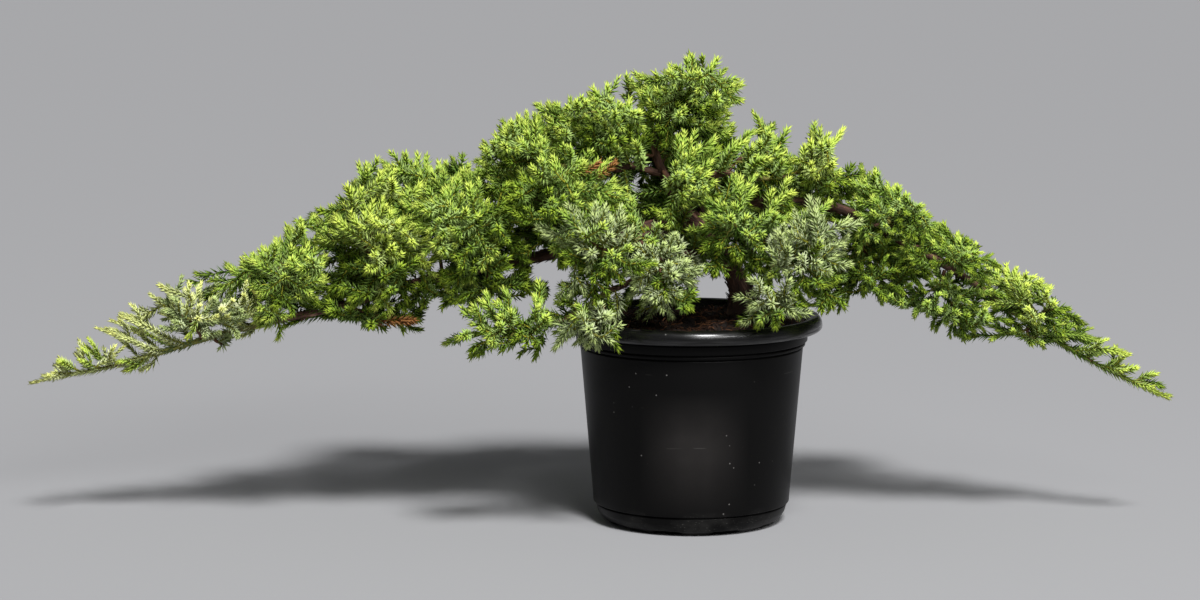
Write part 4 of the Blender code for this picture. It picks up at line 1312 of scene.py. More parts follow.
# The crown's outline along X: the heights that its rows of pads reach up and down to.
ROOF = (
    (-0.424, 0.086), (-0.386, 0.118), (-0.348, 0.149), (-0.300, 0.157), (-0.272, 0.184), (-0.222, 0.221),
    (-0.184, 0.236), (-0.146, 0.234), (-0.121, 0.251), (-0.083, 0.267), (-0.032, 0.285), (-0.007, 0.296),
    (0.031, 0.287), (0.045, 0.257), (0.081, 0.252), (0.094, 0.230), (0.119, 0.228), (0.144, 0.198),
    (0.170, 0.189), (0.220, 0.154), (0.271, 0.107), (0.300, 0.080),
)
FLOOR = (
    (-0.424, 0.080), (-0.386, 0.095), (-0.323, 0.110), (-0.260, 0.113), (-0.190, 0.118), (-0.150, 0.128),
    (-0.121, 0.145), (-0.080, 0.165), (0.060, 0.150), (0.095, 0.138), (0.160, 0.113), (0.220, 0.112),
    (0.260, 0.098), (0.300, 0.077),
)
# The heights that needles keep below and above, as the camera sees them.
SKYLINE = (
    (-0.424, 0.086), (-0.412, 0.094), (-0.399, 0.108), (-0.374, 0.124), (-0.349, 0.140), (-0.336, 0.152),
    (-0.311, 0.158), (-0.285, 0.166), (-0.260, 0.181), (-0.247, 0.195), (-0.222, 0.201), (-0.210, 0.226),
    (-0.184, 0.236), (-0.159, 0.229), (-0.134, 0.234), (-0.121, 0.250), (-0.096, 0.264), (-0.071, 0.269),
    (-0.045, 0.283), (-0.020, 0.286), (-0.007, 0.296), (0.006, 0.295), (0.031, 0.286), (0.036, 0.262),
    (0.045, 0.257), (0.056, 0.248), (0.069, 0.251), (0.084, 0.251), (0.088, 0.224), (0.107, 0.229),
    (0.119, 0.226), (0.132, 0.209), (0.157, 0.190), (0.182, 0.174), (0.208, 0.158), (0.220, 0.154),
    (0.246, 0.128), (0.271, 0.110), (0.296, 0.092), (0.304, 0.080),
)
UNDERLINE = (
    (-0.424, 0.078), (-0.399, 0.088), (-0.374, 0.096), (-0.348, 0.093), (-0.323, 0.111), (-0.298, 0.112),
    (-0.273, 0.119), (-0.262, 0.112), (-0.247, 0.127), (-0.222, 0.128), (-0.197, 0.119), (-0.172, 0.120),
    (-0.164, 0.112), (-0.159, 0.099), (-0.147, 0.0985), (-0.136, 0.1010), (-0.113, 0.1030), (-0.088, 0.102),
    (-0.080, 0.112), (-0.055, 0.109), (-0.047, 0.109), (-0.040, 0.122), (0.088, 0.121), (0.094, 0.134),
    (0.107, 0.140), (0.132, 0.134), (0.157, 0.120), (0.182, 0.110), (0.208, 0.111), (0.233, 0.110),
    (0.258, 0.098), (0.284, 0.084), (0.304, 0.073),
)
# Upright ellipses as the camera sees them (middle x and z, half width and half height): where sky shows
# through, where wood shows between the front sprays, and where the crown lies in its own shade, which is
# painted onto its needles as a darker tint.
WINDOWS = (
    (-0.0939, 0.1621, 0.0105, 0.0095), (-0.0880, 0.1480, 0.0048, 0.0110), (-0.1052, 0.1349, 0.0062, 0.0086),
    (-0.1590, 0.1621, 0.0060, 0.0046), (0.0130, 0.1482, 0.0090, 0.0062), (0.0310, 0.2550, 0.0080, 0.0115),
    (0.0640, 0.2400, 0.0056, 0.0105), (0.0926, 0.2340, 0.0050, 0.0110), (-0.1514, 0.1245, 0.0125, 0.0072),
    (-0.1640, 0.1250, 0.0070, 0.0100),
)
GLIMPSES = (
    (-0.0175, 0.2170, 0.0066, 0.0190), (0.0000, 0.1905, 0.0070, 0.0055), (0.0420, 0.2000, 0.0070, 0.0055),
    (0.0960, 0.1975, 0.0085, 0.0065),
)
SHADY = ((-0.1115, 0.1937, 0.0300, 0.0190),)
# Withered places as the camera sees them: x, z, how far round them and how many shoots.
DEAD = ((-0.0483, 0.2222, 0.015, 2), (-0.1763, 0.1250, 0.010, 1))
# Half the crown's depth along X.
HALF_DEPTH = (
    (-0.424, 0.010), (-0.386, 0.022), (-0.300, 0.046), (-0.220, 0.068), (-0.120, 0.088), (0.0, 0.098),
    (0.080, 0.090), (0.140, 0.066), (0.210, 0.042), (0.270, 0.022), (0.300, 0.010),
)
# The rows under the boughs take the shaded tint, which is painted shade below them.
ROWS = (
    Row("bough_left", "top_front", 1, -0.40, 5, (0.26, 0.88), (0.74, 1.0), (1.1, 0.4),
        ("fresh", "lime", "pale", "lime", "silver")),
    Row("bough_left", "top_back", 1, 0.42, 4, (0.30, 0.78), (0.92, 1.0), (1.3, 0.6),
        ("lime", "fresh")),
    Row("bough_left", "under", -1, -0.10, 3, (0.38, 0.86), (1.0, 1.0), (-0.5, -0.5),
        ("deep", "deep", "silver")),
    Row("bough_right", "top_front", 1, -0.38, 3, (0.50, 0.88), (0.9, 1.0), (0.9, 0.3),
        ("fresh", "lime", "pale")),
    Row("bough_right", "top_back", 1, 0.42, 3, (0.50, 0.84), (0.95, 1.0), (1.0, 0.4),
        ("fresh", "fresh", "pale")),
    Row("bough_right", "under", -1, -0.05, 3, (0.44, 0.88), (1.0, 1.0), (-0.4, -0.2),
        ("deep", "fresh", "lime")),
    Row("bough_back_left", "top", 1, 0.0, 1, (0.60, 0.60), (0.92, 0.92), (1.0, 0.7),
        ("fresh",)),
    Row("bough_back_right", "top", 1, 0.0, 1, (0.62, 0.62), (0.86, 0.86), (0.9, 0.6),
        ("fresh",)),
)
TUFTS = (
    Tuft("tip_left", "bough_left", 1.0, "silver",
         (-0.391, -0.016, 0.0965), (0.042, 0.017, 0.016), (-1, 0, -0.25)),
    Tuft("tip_right", "bough_right", 1.0, "pale",
         (0.274, -0.014, 0.0930), (0.034, 0.017, 0.016), (1, 0, -0.5)),
    Tuft("summit", "trunk", 1.0, "lime",
         (0.006, 0.0, 0.2700), (0.037, 0.033, 0.032), (0.35, 0, 1)),
    Tuft("summit_left", "trunk", 0.92, "lime",
         (-0.058, -0.006, 0.2560), (0.034, 0.036, 0.028), (-0.5, 0, 1)),
    Tuft("summit_back", "trunk", 0.86, "fresh",
         (-0.016, 0.050, 0.2450), (0.042, 0.034, 0.036), (-0.1, 0.6, 1)),
    Tuft("summit_front", "trunk", 0.82, "lime",
         (-0.014, -0.040, 0.2260), (0.034, 0.030, 0.030), (0, -0.7, 0.8)),
    Tuft("shoulder", "bough_shoulder", 1.0, "lime",
         (-0.108, -0.016, 0.2420), (0.030, 0.034, 0.022), (-0.8, 0, 1)),
    Tuft("plume_left", "bough_crown_right", 0.55, "lime",
         (0.050, 0.012, 0.2320), (0.024, 0.030, 0.030), (0.1, 0.2, 1.2)),
    Tuft("plume_right", "bough_crown_right", 1.0, "pale",
         (0.083, -0.010, 0.2320), (0.026, 0.032, 0.030), (0.6, 0, 1)),
    Tuft("low_left_tip", "bough_low_left", 1.0, "lime",
         (-0.119, -0.080, 0.1350), (0.037, 0.027, 0.026), (-1, -0.2, -0.25)),
    Tuft("low_left_hang", "bough_low_left", 0.80, "blue",
         (-0.062, -0.094, 0.1300), (0.024, 0.022, 0.026), (0.1, -0.7, -0.7)),
    Tuft("front_left_tip", "bough_front_left", 1.0, "blue",
         (-0.060, -0.080, 0.1860), (0.030, 0.028, 0.036), (-0.4, -0.8, 0.3)),
    Tuft("front_left_hang", "bough_front_left", 0.80, "blue",
         (-0.020, -0.068, 0.1640), (0.030, 0.024, 0.027), (0.1, -0.8, -0.6)),
    Tuft("front_middle", "bough_front_right", 0.60, "fresh",
         (0.020, -0.052, 0.1920), (0.028, 0.026, 0.030), (0.1, -0.9, 0.4)),
    Tuft("front_right_tip", "bough_front_right", 1.0, "blue",
         (0.068, -0.078, 0.1780), (0.028, 0.026, 0.034), (0.3, -0.8, 0.4)),
    Tuft("front_right_hang", "bough_front_right", 0.90, "blue",
         (0.048, -0.078, 0.1470), (0.026, 0.022, 0.018), (0, -0.6, -0.8)),
    Tuft("back_left_tip", "bough_back_left", 1.0, "fresh",
         (-0.178, 0.080, 0.2020), (0.038, 0.032, 0.032), (-0.9, 0.3, 0.7)),
    Tuft("back_right_tip", "bough_back_right", 1.0, "fresh",
         (0.142, 0.070, 0.1680), (0.032, 0.028, 0.026), (0.9, 0.3, 0.3)),
    Tuft("back_tip", "bough_back", 1.0, "fresh",
         (-0.014, 0.104, 0.1760), (0.040, 0.032, 0.034), (-0.1, 1, 0.1)),
    # Painted shade: the upper back tuft takes the shaded tint.
    Tuft("back_upper", "bough_back", 0.70, "deep",
         (0.040, 0.072, 0.2060), (0.036, 0.032, 0.032), (0.3, 0.7, 0.7)),
)


class Foliage:
    """Every mass of foliage: stems off the limbs, twigs, and needled shoots in their tints."""

    SLOTS = {
        "lime": "lime_needles", "pale": "lime_needles", "fresh": "fresh_needles", "blue": "blue_needles",
        "silver": "blue_needles", "deep": "deep_needles",
    }
    BRANCHING_COSINE = 0.55
    SHOOT_LEVELS = (-0.80, 0.90)
    SHOOT_REACHES = (0.99, 0.90, 0.78, 0.64, 0.48)
    TWIG_REACHES = (0.66, 0.50)
    PAD_EDGE = 1.20
    CLOSE_LEFT_OF = -0.30
    STEM_REACH = 0.62
    STEM_REACHES = {"foliage_tip_right": 1.0}
    STEM_GAP = 0.00045
    STEM_LEAVE = 0.34
    STEM_ARRIVE = 0.30
    STEM_TRIES = (1.0, 0.5, 0.0)
    STEM_BACK = -0.35
    HANDLE = 0.36
    FORWARD = 0.4
    LEAN = 0.9
    RISE = 1.6
    SPACINGS = {Habit.OPEN: 0.0080, Habit.CLOSE: 0.0063}
    LIMB_SPACING = 0.0060
    SIDE_SPACING = 0.0052
    ROOM_EACH = 0.78e-6
    TWIG_ROOM = 1.1e-5
    SHOOT_LENGTHS = (0.013, 0.037)
    TWIG_LENGTHS = (0.012, 0.058)
    FEWEST_TWIGS = 6
    STEM_RADII = (0.00125, 0.0007)
    TWIG_RADII = (0.00085, 0.00055)
    TWIG_NEEDLES_FROM = 0.30
    STEM_NEEDLES_FROM = 0.35
    BRANCH_STATIONS = 10
    NEARNESS = 4.0
    TIP_PLAY = (0.97, 1.03)
    SHOOT_SIZES = (0.86, 1.08)
    SIDE_SHOOTS = (0.40, 0.58, 0.74)
    SIDE_LENGTHS = (0.010, 0.0145)
    SIDE_SIZE = 0.86
    ROW_OVERLAP = 0.72
    ROW_WIDTH = 0.52
    LONE_ROW_WIDTH = 0.40
    ROW_OUTWARD = 1.2
    SHORTEST_PAD = 0.018
    NARROWEST_PAD = 0.014
    PAD_PROUD = 0.003
    LONE_PAD_SPACING = 0.046
    POT_MARGIN = 0.0030
    LIMB_MARGIN = 0.0012
    LIMB_STEP = 0.0026
    LIMB_STARTS = {"trunk": 0.48, "bough_left": 0.30, "bough_right": 0.36}
    OTHER_LIMB_START = 0.20
    LIMB_END = 0.995
    LIMB_LENGTHS = (0.030, 0.024, 0.018, 0.014, 0.011)
    LIMB_SHARES = (0.72, 0.62)
    LIMB_RISE = 0.22
    LEFT_RISE = 0.55
    UNDER_RISE = -0.12
    SLIM_LENGTHS = (0.044, 0.036, *LIMB_LENGTHS)
    SLIM_SHARES = (0.40, 0.86)
    WRAP_STARTS = {"bough_left": 0.62, "bough_right": 0.62}
    WRAP_LENGTH = 0.030
    WRAP_AGES = (0.15, 0.45)
    WRAP_SIZE = 1.12
    TIPS = ("foliage_tip_left", "foliage_tip_right")
    TIP_RADIUS = 0.0010
    SLIM_BEYOND = (-0.270, 0.165)
    SLIM_SPACING = 0.0046
    BARE = (("bough_left", -0.126, -0.080), ("bough_left", -0.262, -0.236), ("bough_right", 0.132, 0.178))
    GLIMPSE_FRONT = 0.004
    OUTLINE_MARGINS = (0.002, 0.001)
    DEPTH_MARGIN = 0.004
    BOX_MARGIN = 0.0005
    BLUE_RIGHT_OF = -0.335
    SILVER_BLUE = 0.5
    SILVER_PALE = 0.18
    FROST_TOP = 0.190
    # Shares of shoots that take the shaded tint as painted shade: in the shady recess and on the underside.
    SHADY_PAINTED_SHADE = 0.75
    UNDER_DEEP = 0.75
    TOP_LIME = 0.4
    STRAY = 0.12
    WHOLE = (0.2, 1.0, 7)
    HELD = (0.4, 1.0, 6)
    OUTER = (0.5, 1.0, 5)
    TWIG_PART = (0.3, 1.0, 6)
    SIDE_PART = (0.6, 1.0, 3)
    SIDE_TIP = (0.7, 1.0, 3)
    STEM_PART = (0.6, 1.0, 4)

    def __init__(self, wood: Wood, compost: Compost) -> None:
        """Lays out every mass.

        Args:
            wood: The limbs that carry the foliage.
            compost: The compost, which the foliage hangs clear of.
        """
        self.least = [c - self.BOX_MARGIN for c in CAD_BOX[0]]
        self.most = [c + self.BOX_MARGIN for c in CAD_BOX[1]]
        self.limbs = wood.limbs
        self.compost = compost
        self.pot = compost.pot
        self.pads = [pad for row in ROWS for pad in self.pads_of_row(row)]
        self.pads += [self.pad_of_tuft(tuft) for tuft in TUFTS]
        samples = [(spot, radius) for limb in self.limbs.values() for spot, radius in limb.samples(90)]
        self.wood_tree = KDTree(len(samples))
        for k, (spot, _) in enumerate(samples):
            self.wood_tree.insert(spot, k)
        self.wood_tree.balance()
        self.wood_radii = [radius for _, radius in samples]
        self.crowd = Crowd(max(self.SPACINGS.values()))
        self.shoots: list[Shoot] = []
        self.twigs: list[tuple[Path, float, float]] = []

    def pads_of_row(self, row: Row) -> list[Pad]:
        """The pads of a row, each as tall as the room between its limb and the crown's outline.

        Args:
            row: The row.

        Returns:
            Its pads, from the trunk outwards.
        """
        limb = self.limbs[row.limb]
        run = (limb.path.at(row.span[1]) - limb.path.at(row.span[0])).length
        spacing = run / (row.count - 1) if row.count > 1 else self.LONE_PAD_SPACING
        pads = []
        for k in range(row.count):
            share = k / max(1, row.count - 1)
            t = lerp(*row.span, share)
            spot, heading = limb.path.at(t), limb.path.heading(t)
            edge = read(ROOF if row.side > 0 else FLOOR, spot.x)
            reach = max(self.SHORTEST_PAD, lerp(*row.height, share) * abs(edge - spot.z))
            depth = read(HALF_DEPTH, spot.x)
            width = self.ROW_WIDTH if row.place else self.LONE_ROW_WIDTH
            lean = heading + UP * lerp(*row.uprightness, share)
            pads.append(Pad(
                f"foliage_{row.limb.removeprefix('bough_')}_{row.label}_{k + 1}", limb, t,
                spot + UP * (row.side * reach / 2) + Vector((0.0, row.place * depth, 0.0)),
                Vector((heading.x, heading.y, 0.0)),
                (spacing * self.ROW_OVERLAP, max(self.NARROWEST_PAD, depth * width),
                 reach / 2 + self.PAD_PROUD),
                (lean + Vector((0.0, self.ROW_OUTWARD * row.place, 0.0))).normalized(),
                row.tones[k % len(row.tones)],
            ))
        return pads

    def pad_of_tuft(self, tuft: Tuft) -> Pad:
        """The pad that a single tuft describes."""
        return Pad(
            f"foliage_{tuft.label}", self.limbs[tuft.limb], tuft.station, Vector(tuft.middle),
            Vector((1.0, 0.0, 0.0)), tuft.half, Vector(tuft.lean).normalized(), tuft.tone,
        )

    def stem_of(self, pad: Pad) -> Path:
        """The pad's stem, as long as the crown's outline lets it be."""
        longest = self.STEM_REACHES.get(pad.name, self.STEM_REACH)
        for reach in (*(longest * share for share in self.STEM_TRIES), self.STEM_BACK):
            stem = self.stem_to(pad, reach)
            if pad.station >= 1.0 or self.within(pad, stem.cut(*self.STEM_PART)):
                return stem
        return stem

    def stem_to(self, pad: Pad, reach: float) -> Path:
        """A stem from just off the pad's limb, through its middle, some way towards where its shoots lean.

        Args:
            pad: The stem's pad.
            reach: How far it runs past the middle, as a share of the room there.

        Returns:
            The stem's path.
        """
        heading = pad.limb.path.heading(pad.station)
        spot = pad.limb.path.at(pad.station)
        goal = pad.centre + pad.lean * (reach * pad.room(pad.lean))
        if pad.station >= 1.0:
            root, leave = spot + heading * self.STEM_GAP, heading
        else:
            sideways = (pad.centre - spot) - heading * (pad.centre - spot).dot(heading)
            leave = sideways.normalized()
            root = spot + leave * (pad.limb.radius(pad.station) + self.STEM_GAP)
        length = (goal - root).length
        return Path(root, leave * (self.STEM_LEAVE * length), pad.lean * (self.STEM_ARRIVE * length), goal)

    def directions(self, count: int, pole: Vector, draws: Random) -> list[Vector]:
        """Directions spread evenly round a pole, each nudged a little.

        Args:
            count: How many besides the pole itself.
            pole: The unit direction that comes first.
            draws: The pad's draws.

        Returns:
            The unit directions.
        """
        height_nudge, turn_nudge = 0.05, 0.25
        side = pole.cross(Vector((0.0, 1.0, 0.0))).normalized()
        other = pole.cross(side)
        spread = [pole]
        for k in range(count):
            z = lerp(*self.SHOOT_LEVELS, (k + 0.5) / count)
            z += draws.uniform(-height_nudge, height_nudge)
            angle = k * GOLDEN_ANGLE + draws.uniform(-turn_nudge, turn_nudge)
            flat = sqrt(1.0 - z * z)
            spread.append(pole * z + (side * cos(angle) + other * sin(angle)) * flat)
        return spread

    def branch_to(self, tip: Vector, pad: Pad, parents: list[Path], lengths: Span) -> Path | None:
        """The path of a twig to a tip, off the parent's place that it would leave at the natural angle.

        Args:
            tip: Where it ends.
            pad: Its pad, whose lean it takes on.
            parents: The pad's stem and then its twigs.
            lengths: How short and how long it may be.

        Returns:
            The path, or none where no place is near enough.
        """
        choices = []
        for number, parent in enumerate(parents):
            for k in range(2 if number == 0 else 3, self.BRANCH_STATIONS + 1):
                t = k / self.BRANCH_STATIONS
                span = tip - parent.at(t)
                if lengths[0] < span.length < lengths[1]:
                    turn = span.normalized().dot(parent.heading(t)) - self.BRANCHING_COSINE
                    choices.append((abs(turn) + span.length * self.NEARNESS, number, t))
        if not choices:
            return None
        _, number, t = min(choices)
        root = parents[number].at(t)
        length = (tip - root).length
        straight = (tip - root).normalized()
        leave = (parents[number].heading(t) * self.FORWARD + straight).normalized()
        rise = self.RISE * max(0.0, pad.lean.z)
        arrive = (pad.outward(tip) + pad.lean * self.LEAN + straight + UP * rise).normalized()
        return Path(root, leave * (self.HANDLE * length), arrive * (self.HANDLE * length), tip)

    def seen(self, point: Vector) -> Vector:
        """Where a point shows on the upright plane through the pot's axis."""
        return EYE + (point - EYE) * (-EYE.y / (point.y - EYE.y))

    def within(self, pad: Pad | None, points: list[Vector]) -> bool:
        """Tells whether foliage may grow along points.

        Args:
            pad: The pad whose reach they must keep to, or none for shoots that stand on a limb.
            points: The points.

        Returns:
            True where all lie in that reach, inside the crown's outline, and clear of pot and wood.
        """
        if pad and pad.depth(np.array(points)).max() > self.PAD_EDGE:
            return False
        low, high = self.OUTLINE_MARGINS
        for point in points:
            seen = self.seen(point)
            if not read(UNDERLINE, seen.x) + low < seen.z < read(SKYLINE, seen.x) - high:
                return False
            if self.in_one_of(WINDOWS, seen) or not self.clear_of_pot(point):
                return False
            if point.y < self.GLIMPSE_FRONT and self.in_one_of(GLIMPSES, seen):
                return False
            if pad is None and abs(point.y) > read(HALF_DEPTH, point.x) + self.DEPTH_MARGIN:
                return False
            if any(not least < c < most for least, c, most in zip(self.least, point, self.most)):
                return False
            _, k, distance = self.wood_tree.find(point)
            if distance < self.wood_radii[k] + self.LIMB_MARGIN:
                return False
        return True

    def in_one_of(self, openings: tuple, seen: Vector) -> bool:
        """True where a seen point lies in one of some upright ellipses."""
        return any(
            hypot((seen.x - x) / wide, (seen.z - z) / tall) < 1.0 for x, z, wide, tall in openings
        )

    def clear_of_pot(self, point: Vector) -> bool:
        """True where a point lies outside the pot and above its compost."""
        radius = hypot(point.x, point.y)
        if radius > self.pot.rim_radius + self.POT_MARGIN:
            return True
        if radius > self.pot.collar_radius - self.pot.wall_thickness - self.POT_MARGIN:
            return point.z > self.pot.height + self.POT_MARGIN
        return point.z > self.compost.height(point.x, point.y) + self.POT_MARGIN

    def grow(self) -> None:
        """Grows every stem and twig, then the shoots from the outside of the crown inwards."""
        grown = [(pad, *self.grow_twigs(pad)) for pad in self.pads]
        for reach in self.SHOOT_REACHES:
            for pad, draws, parents, directions in grown:
                for direction in directions:
                    tip = pad.place(direction * (reach * draws.uniform(*self.TIP_PLAY)))
                    path = self.branch_to(tip, pad, parents, self.SHOOT_LENGTHS)
                    spacing = self.SPACINGS[self.habit_of(pad)]
                    if path and self.free(path, spacing) and self.within(pad, path.cut(*self.WHOLE)):
                        self.add_shoot(pad, path, draws)
        for limb in self.limbs.values():
            self.clothe_limb(limb)
        for pad, _, parents, _ in grown:
            if pad.name in self.TIPS:
                self.clothe_limb(Limb(pad.name, parents[0], self.TIP_RADIUS, self.TIP_RADIUS))
        self.wither()
        LOG.info("%d pads, %d twigs, %d shoots", len(self.pads), len(self.twigs), len(self.shoots))

    def wither(self) -> None:
        """Turns the foremost shoots at each dead place brown."""
        for x, z, reach, count in DEAD:
            places = [(shoot, self.seen(shoot.middle())) for shoot in self.shoots if shoot.stem]
            near = [shoot for shoot, place in places if hypot(place.x - x, place.z - z) < reach]
            for shoot in sorted(near, key=lambda shoot: shoot.middle().y)[:count]:
                shoot.tint = Tint.BROWN

    def grow_twigs(self, pad: Pad) -> tuple[Random, list[Path], list[Vector]]:
        """Grows a pad's stem and twigs.

        Args:
            pad: The pad.

        Returns:
            Its seeded draws, the paths that shoots may leave, and the directions of its shoots' tips.
        """
        draws = Random(pad.name)
        stem = self.stem_of(pad)
        self.twigs.append((stem, *self.STEM_RADII))
        parents = [stem]
        count = self.FEWEST_TWIGS + round(pad.volume() / self.TWIG_ROOM)
        for k, direction in enumerate(self.directions(count, pad.lean, draws)):
            tip = pad.place(direction * self.TWIG_REACHES[k % len(self.TWIG_REACHES)])
            path = self.branch_to(tip, pad, [stem], self.TWIG_LENGTHS)
            if path and self.within(pad, path.cut(*self.TWIG_PART)):
                parents.append(path)
                self.twigs.append((path, *self.TWIG_RADII))
                self.add_shoot(pad, path, draws, self.TWIG_NEEDLES_FROM)
        self.add_shoot(pad, stem, draws, 0.0 if pad.station >= 1.0 else self.STEM_NEEDLES_FROM)
        return draws, parents, self.directions(round(pad.volume() / self.ROOM_EACH), pad.lean, draws)

    def clothe_limb(self, limb: Limb) -> None:
        """Sets short shoots round the outer part of a limb, except where the limb shows bare.

        Args:
            limb: The limb, or a tip's stem.
        """
        draws = Random(f"shoots on {limb.name}")
        if limb.name in self.WRAP_STARTS:
            self.wrap_limb(limb, draws)
        start = self.LIMB_STARTS.get(limb.name, 0.0 if limb.name in self.TIPS else self.OTHER_LIMB_START)
        count = round(limb.path.span() * (1.0 - start) / self.LIMB_STEP)
        for k in range(count):
            t = lerp(start, self.LIMB_END, k / count)
            spot, heading = limb.path.at(t), limb.path.heading(t)
            out = limb.path.off(t, k * GOLDEN_ANGLE + draws.uniform(-0.3, 0.3))
            if self.bare_at(limb, spot) and (out.y < 0.2 or out.z < 0.0):
                continue
            slim = not self.SLIM_BEYOND[0] < spot.x < self.SLIM_BEYOND[1]
            out_share, on_share = self.SLIM_SHARES if slim else self.LIMB_SHARES
            spacing = self.SLIM_SPACING if slim else self.LIMB_SPACING
            rise = self.LEFT_RISE if spot.x < self.SLIM_BEYOND[0] else self.LIMB_RISE
            rise = self.UNDER_RISE if out.z < -0.25 else rise
            for length in self.SLIM_LENGTHS if slim else self.LIMB_LENGTHS:
                root = spot + out * (limb.radius(t) * 0.8)
                tip = root + (out * out_share + heading * on_share + UP * rise).normalized() * length
                handle = length * self.HANDLE
                leave = (out + heading * 0.5).normalized() * handle
                path = Path(root, leave, (heading + UP * rise) * handle, tip)
                if self.free(path, spacing) and self.within(None, path.cut(*self.HELD)):
                    self.add_shoot(self.nearest_pad(tip), path, draws)
                    break

    def bare_at(self, limb: Limb, spot: Vector) -> bool:
        """True where a limb shows bare wood."""
        return any(name == limb.name and low < spot.x < high for name, low, high in self.BARE)

    def nearest_pad(self, point: Vector) -> Pad:
        """The pad that a point lies deepest in, or nearest to."""
        return min(self.pads, key=lambda pad: pad.depth(np.array(point)))

    def wrap_limb(self, limb: Limb, draws: Random) -> None:
        """Sets needles straight onto the young outer part of a long bough.

        Args:
            limb: The bough.
            draws: Its draws.
        """
        length = limb.path.span()
        t = self.WRAP_STARTS[limb.name]
        while t < 1.0:
            end = min(1.0, t + self.WRAP_LENGTH / length)
            spot = limb.path.at((t + end) / 2)
            if not self.bare_at(limb, spot):
                pad = self.nearest_pad(spot)
                tint = self.tint_of(pad, limb.path, draws)
                wrap = Shoot(limb.path, self.WRAP_SIZE, tint, Habit.CLOSE, pad, t, end, self.WRAP_AGES, False)
                self.shoots.append(wrap)
            t = end

    def free(self, path: Path, spacing: float) -> bool:
        """True where the outer half of a path keeps its distance from the shoots that are there."""
        return not any(self.crowd.near(spot, spacing) for spot in path.cut(*self.OUTER))

    def add_shoot(self, pad: Pad, path: Path, draws: Random, start: float = 0.0) -> None:
        """Keeps a shoot with its side shoots, and picks their tint and habit.

        Args:
            pad: The pad that it belongs to.
            path: Its path.
            draws: The draws of its pad or limb.
            start: The share of the path where its needles start.
        """
        tint = self.tint_of(pad, path, draws)
        habit = self.habit_of(pad)
        size = draws.uniform(*self.SHOOT_SIZES)
        self.crowd.hold(path.cut(*self.HELD))
        self.shoots.append(Shoot(path, size, tint, habit, pad, start))
        turn = draws.uniform(0.0, 6.0)
        for k, t in enumerate(self.SIDE_SHOOTS):
            side = self.side_shoot(path, t, turn + k * GOLDEN_ANGLE, draws.uniform(*self.SIDE_LENGTHS))
            if any(self.crowd.near(spot, self.SIDE_SPACING) for spot in side.cut(*self.SIDE_TIP)):
                continue
            outside = pad.depth(np.array(side.at(1.0))) > 1.0
            if self.within(None if outside else pad, side.cut(*self.SIDE_PART)):
                self.crowd.hold(side.cut(*self.SIDE_PART))
                self.shoots.append(Shoot(side, size * self.SIDE_SIZE, tint, habit, pad))

    def side_shoot(self, path: Path, t: float, angle: float, length: float) -> Path:
        """A short path off another one at t, bent forward and up.

        Args:
            path: The other path.
            t: Where it leaves it.
            angle: Its turn round that path.
            length: How long it is.

        Returns:
            The short path.
        """
        root, heading, out = path.at(t), path.heading(t), path.off(t, angle)
        tip = root + (heading * 0.80 + out * 0.50 + UP * 0.25).normalized() * length
        handle = length * self.HANDLE
        leave, arrive = (heading + out).normalized(), (heading + UP * 0.3).normalized()
        return Path(root, leave * handle, arrive * handle, tip)

    def habit_of(self, pad: Pad) -> Habit:
        """The habit of a pad's shoots: close along the right bough and at the left tip."""
        close = pad.limb.name == "bough_right" or pad.centre.x < self.CLOSE_LEFT_OF
        return Habit.CLOSE if close else Habit.OPEN

    def tint_of(self, pad: Pad, path: Path, draws: Random) -> Tint:
        """The tint of a shoot: its pad's own, the shaded tint as painted shade below or in shade, brighter on
        top, or a stray one.

        Args:
            pad: Its pad.
            path: Its path.
            draws: The draws of its pad or limb.

        Returns:
            The tint.
        """
        upward = path.heading(0.9).z
        outward = pad.outward(path.at(1.0)).z
        seen = self.seen(path.at(Shoot.MIDDLE))
        tone = pad.tone
        if tone == "silver":
            if seen.x > self.BLUE_RIGHT_OF and draws.random() < self.SILVER_BLUE:
                return Tint.BLUE
            return Tint.PALE if draws.random() < self.SILVER_PALE else Tint.SILVER
        # Painted shade: most shoots in the crown's dark recess take the darker shaded tint.
        if self.in_one_of(SHADY, seen) and draws.random() < self.SHADY_PAINTED_SHADE:
            return Tint.DEEP
        if tone == "blue" and seen.z > self.FROST_TOP:
            tone = "fresh"
        # Painted shade: most shoots on the underside take the darker shaded tint.
        if outward < -0.35 and draws.random() < self.UNDER_DEEP:
            tone = "deep"
        elif outward > 0.3 and upward > 0.45 and tone == "fresh" and draws.random() < self.TOP_LIME:
            tone = "lime"
        elif draws.random() < self.STRAY:
            tone = draws.choice(("fresh", "deep", "lime"))
        return Tint[tone.upper()]


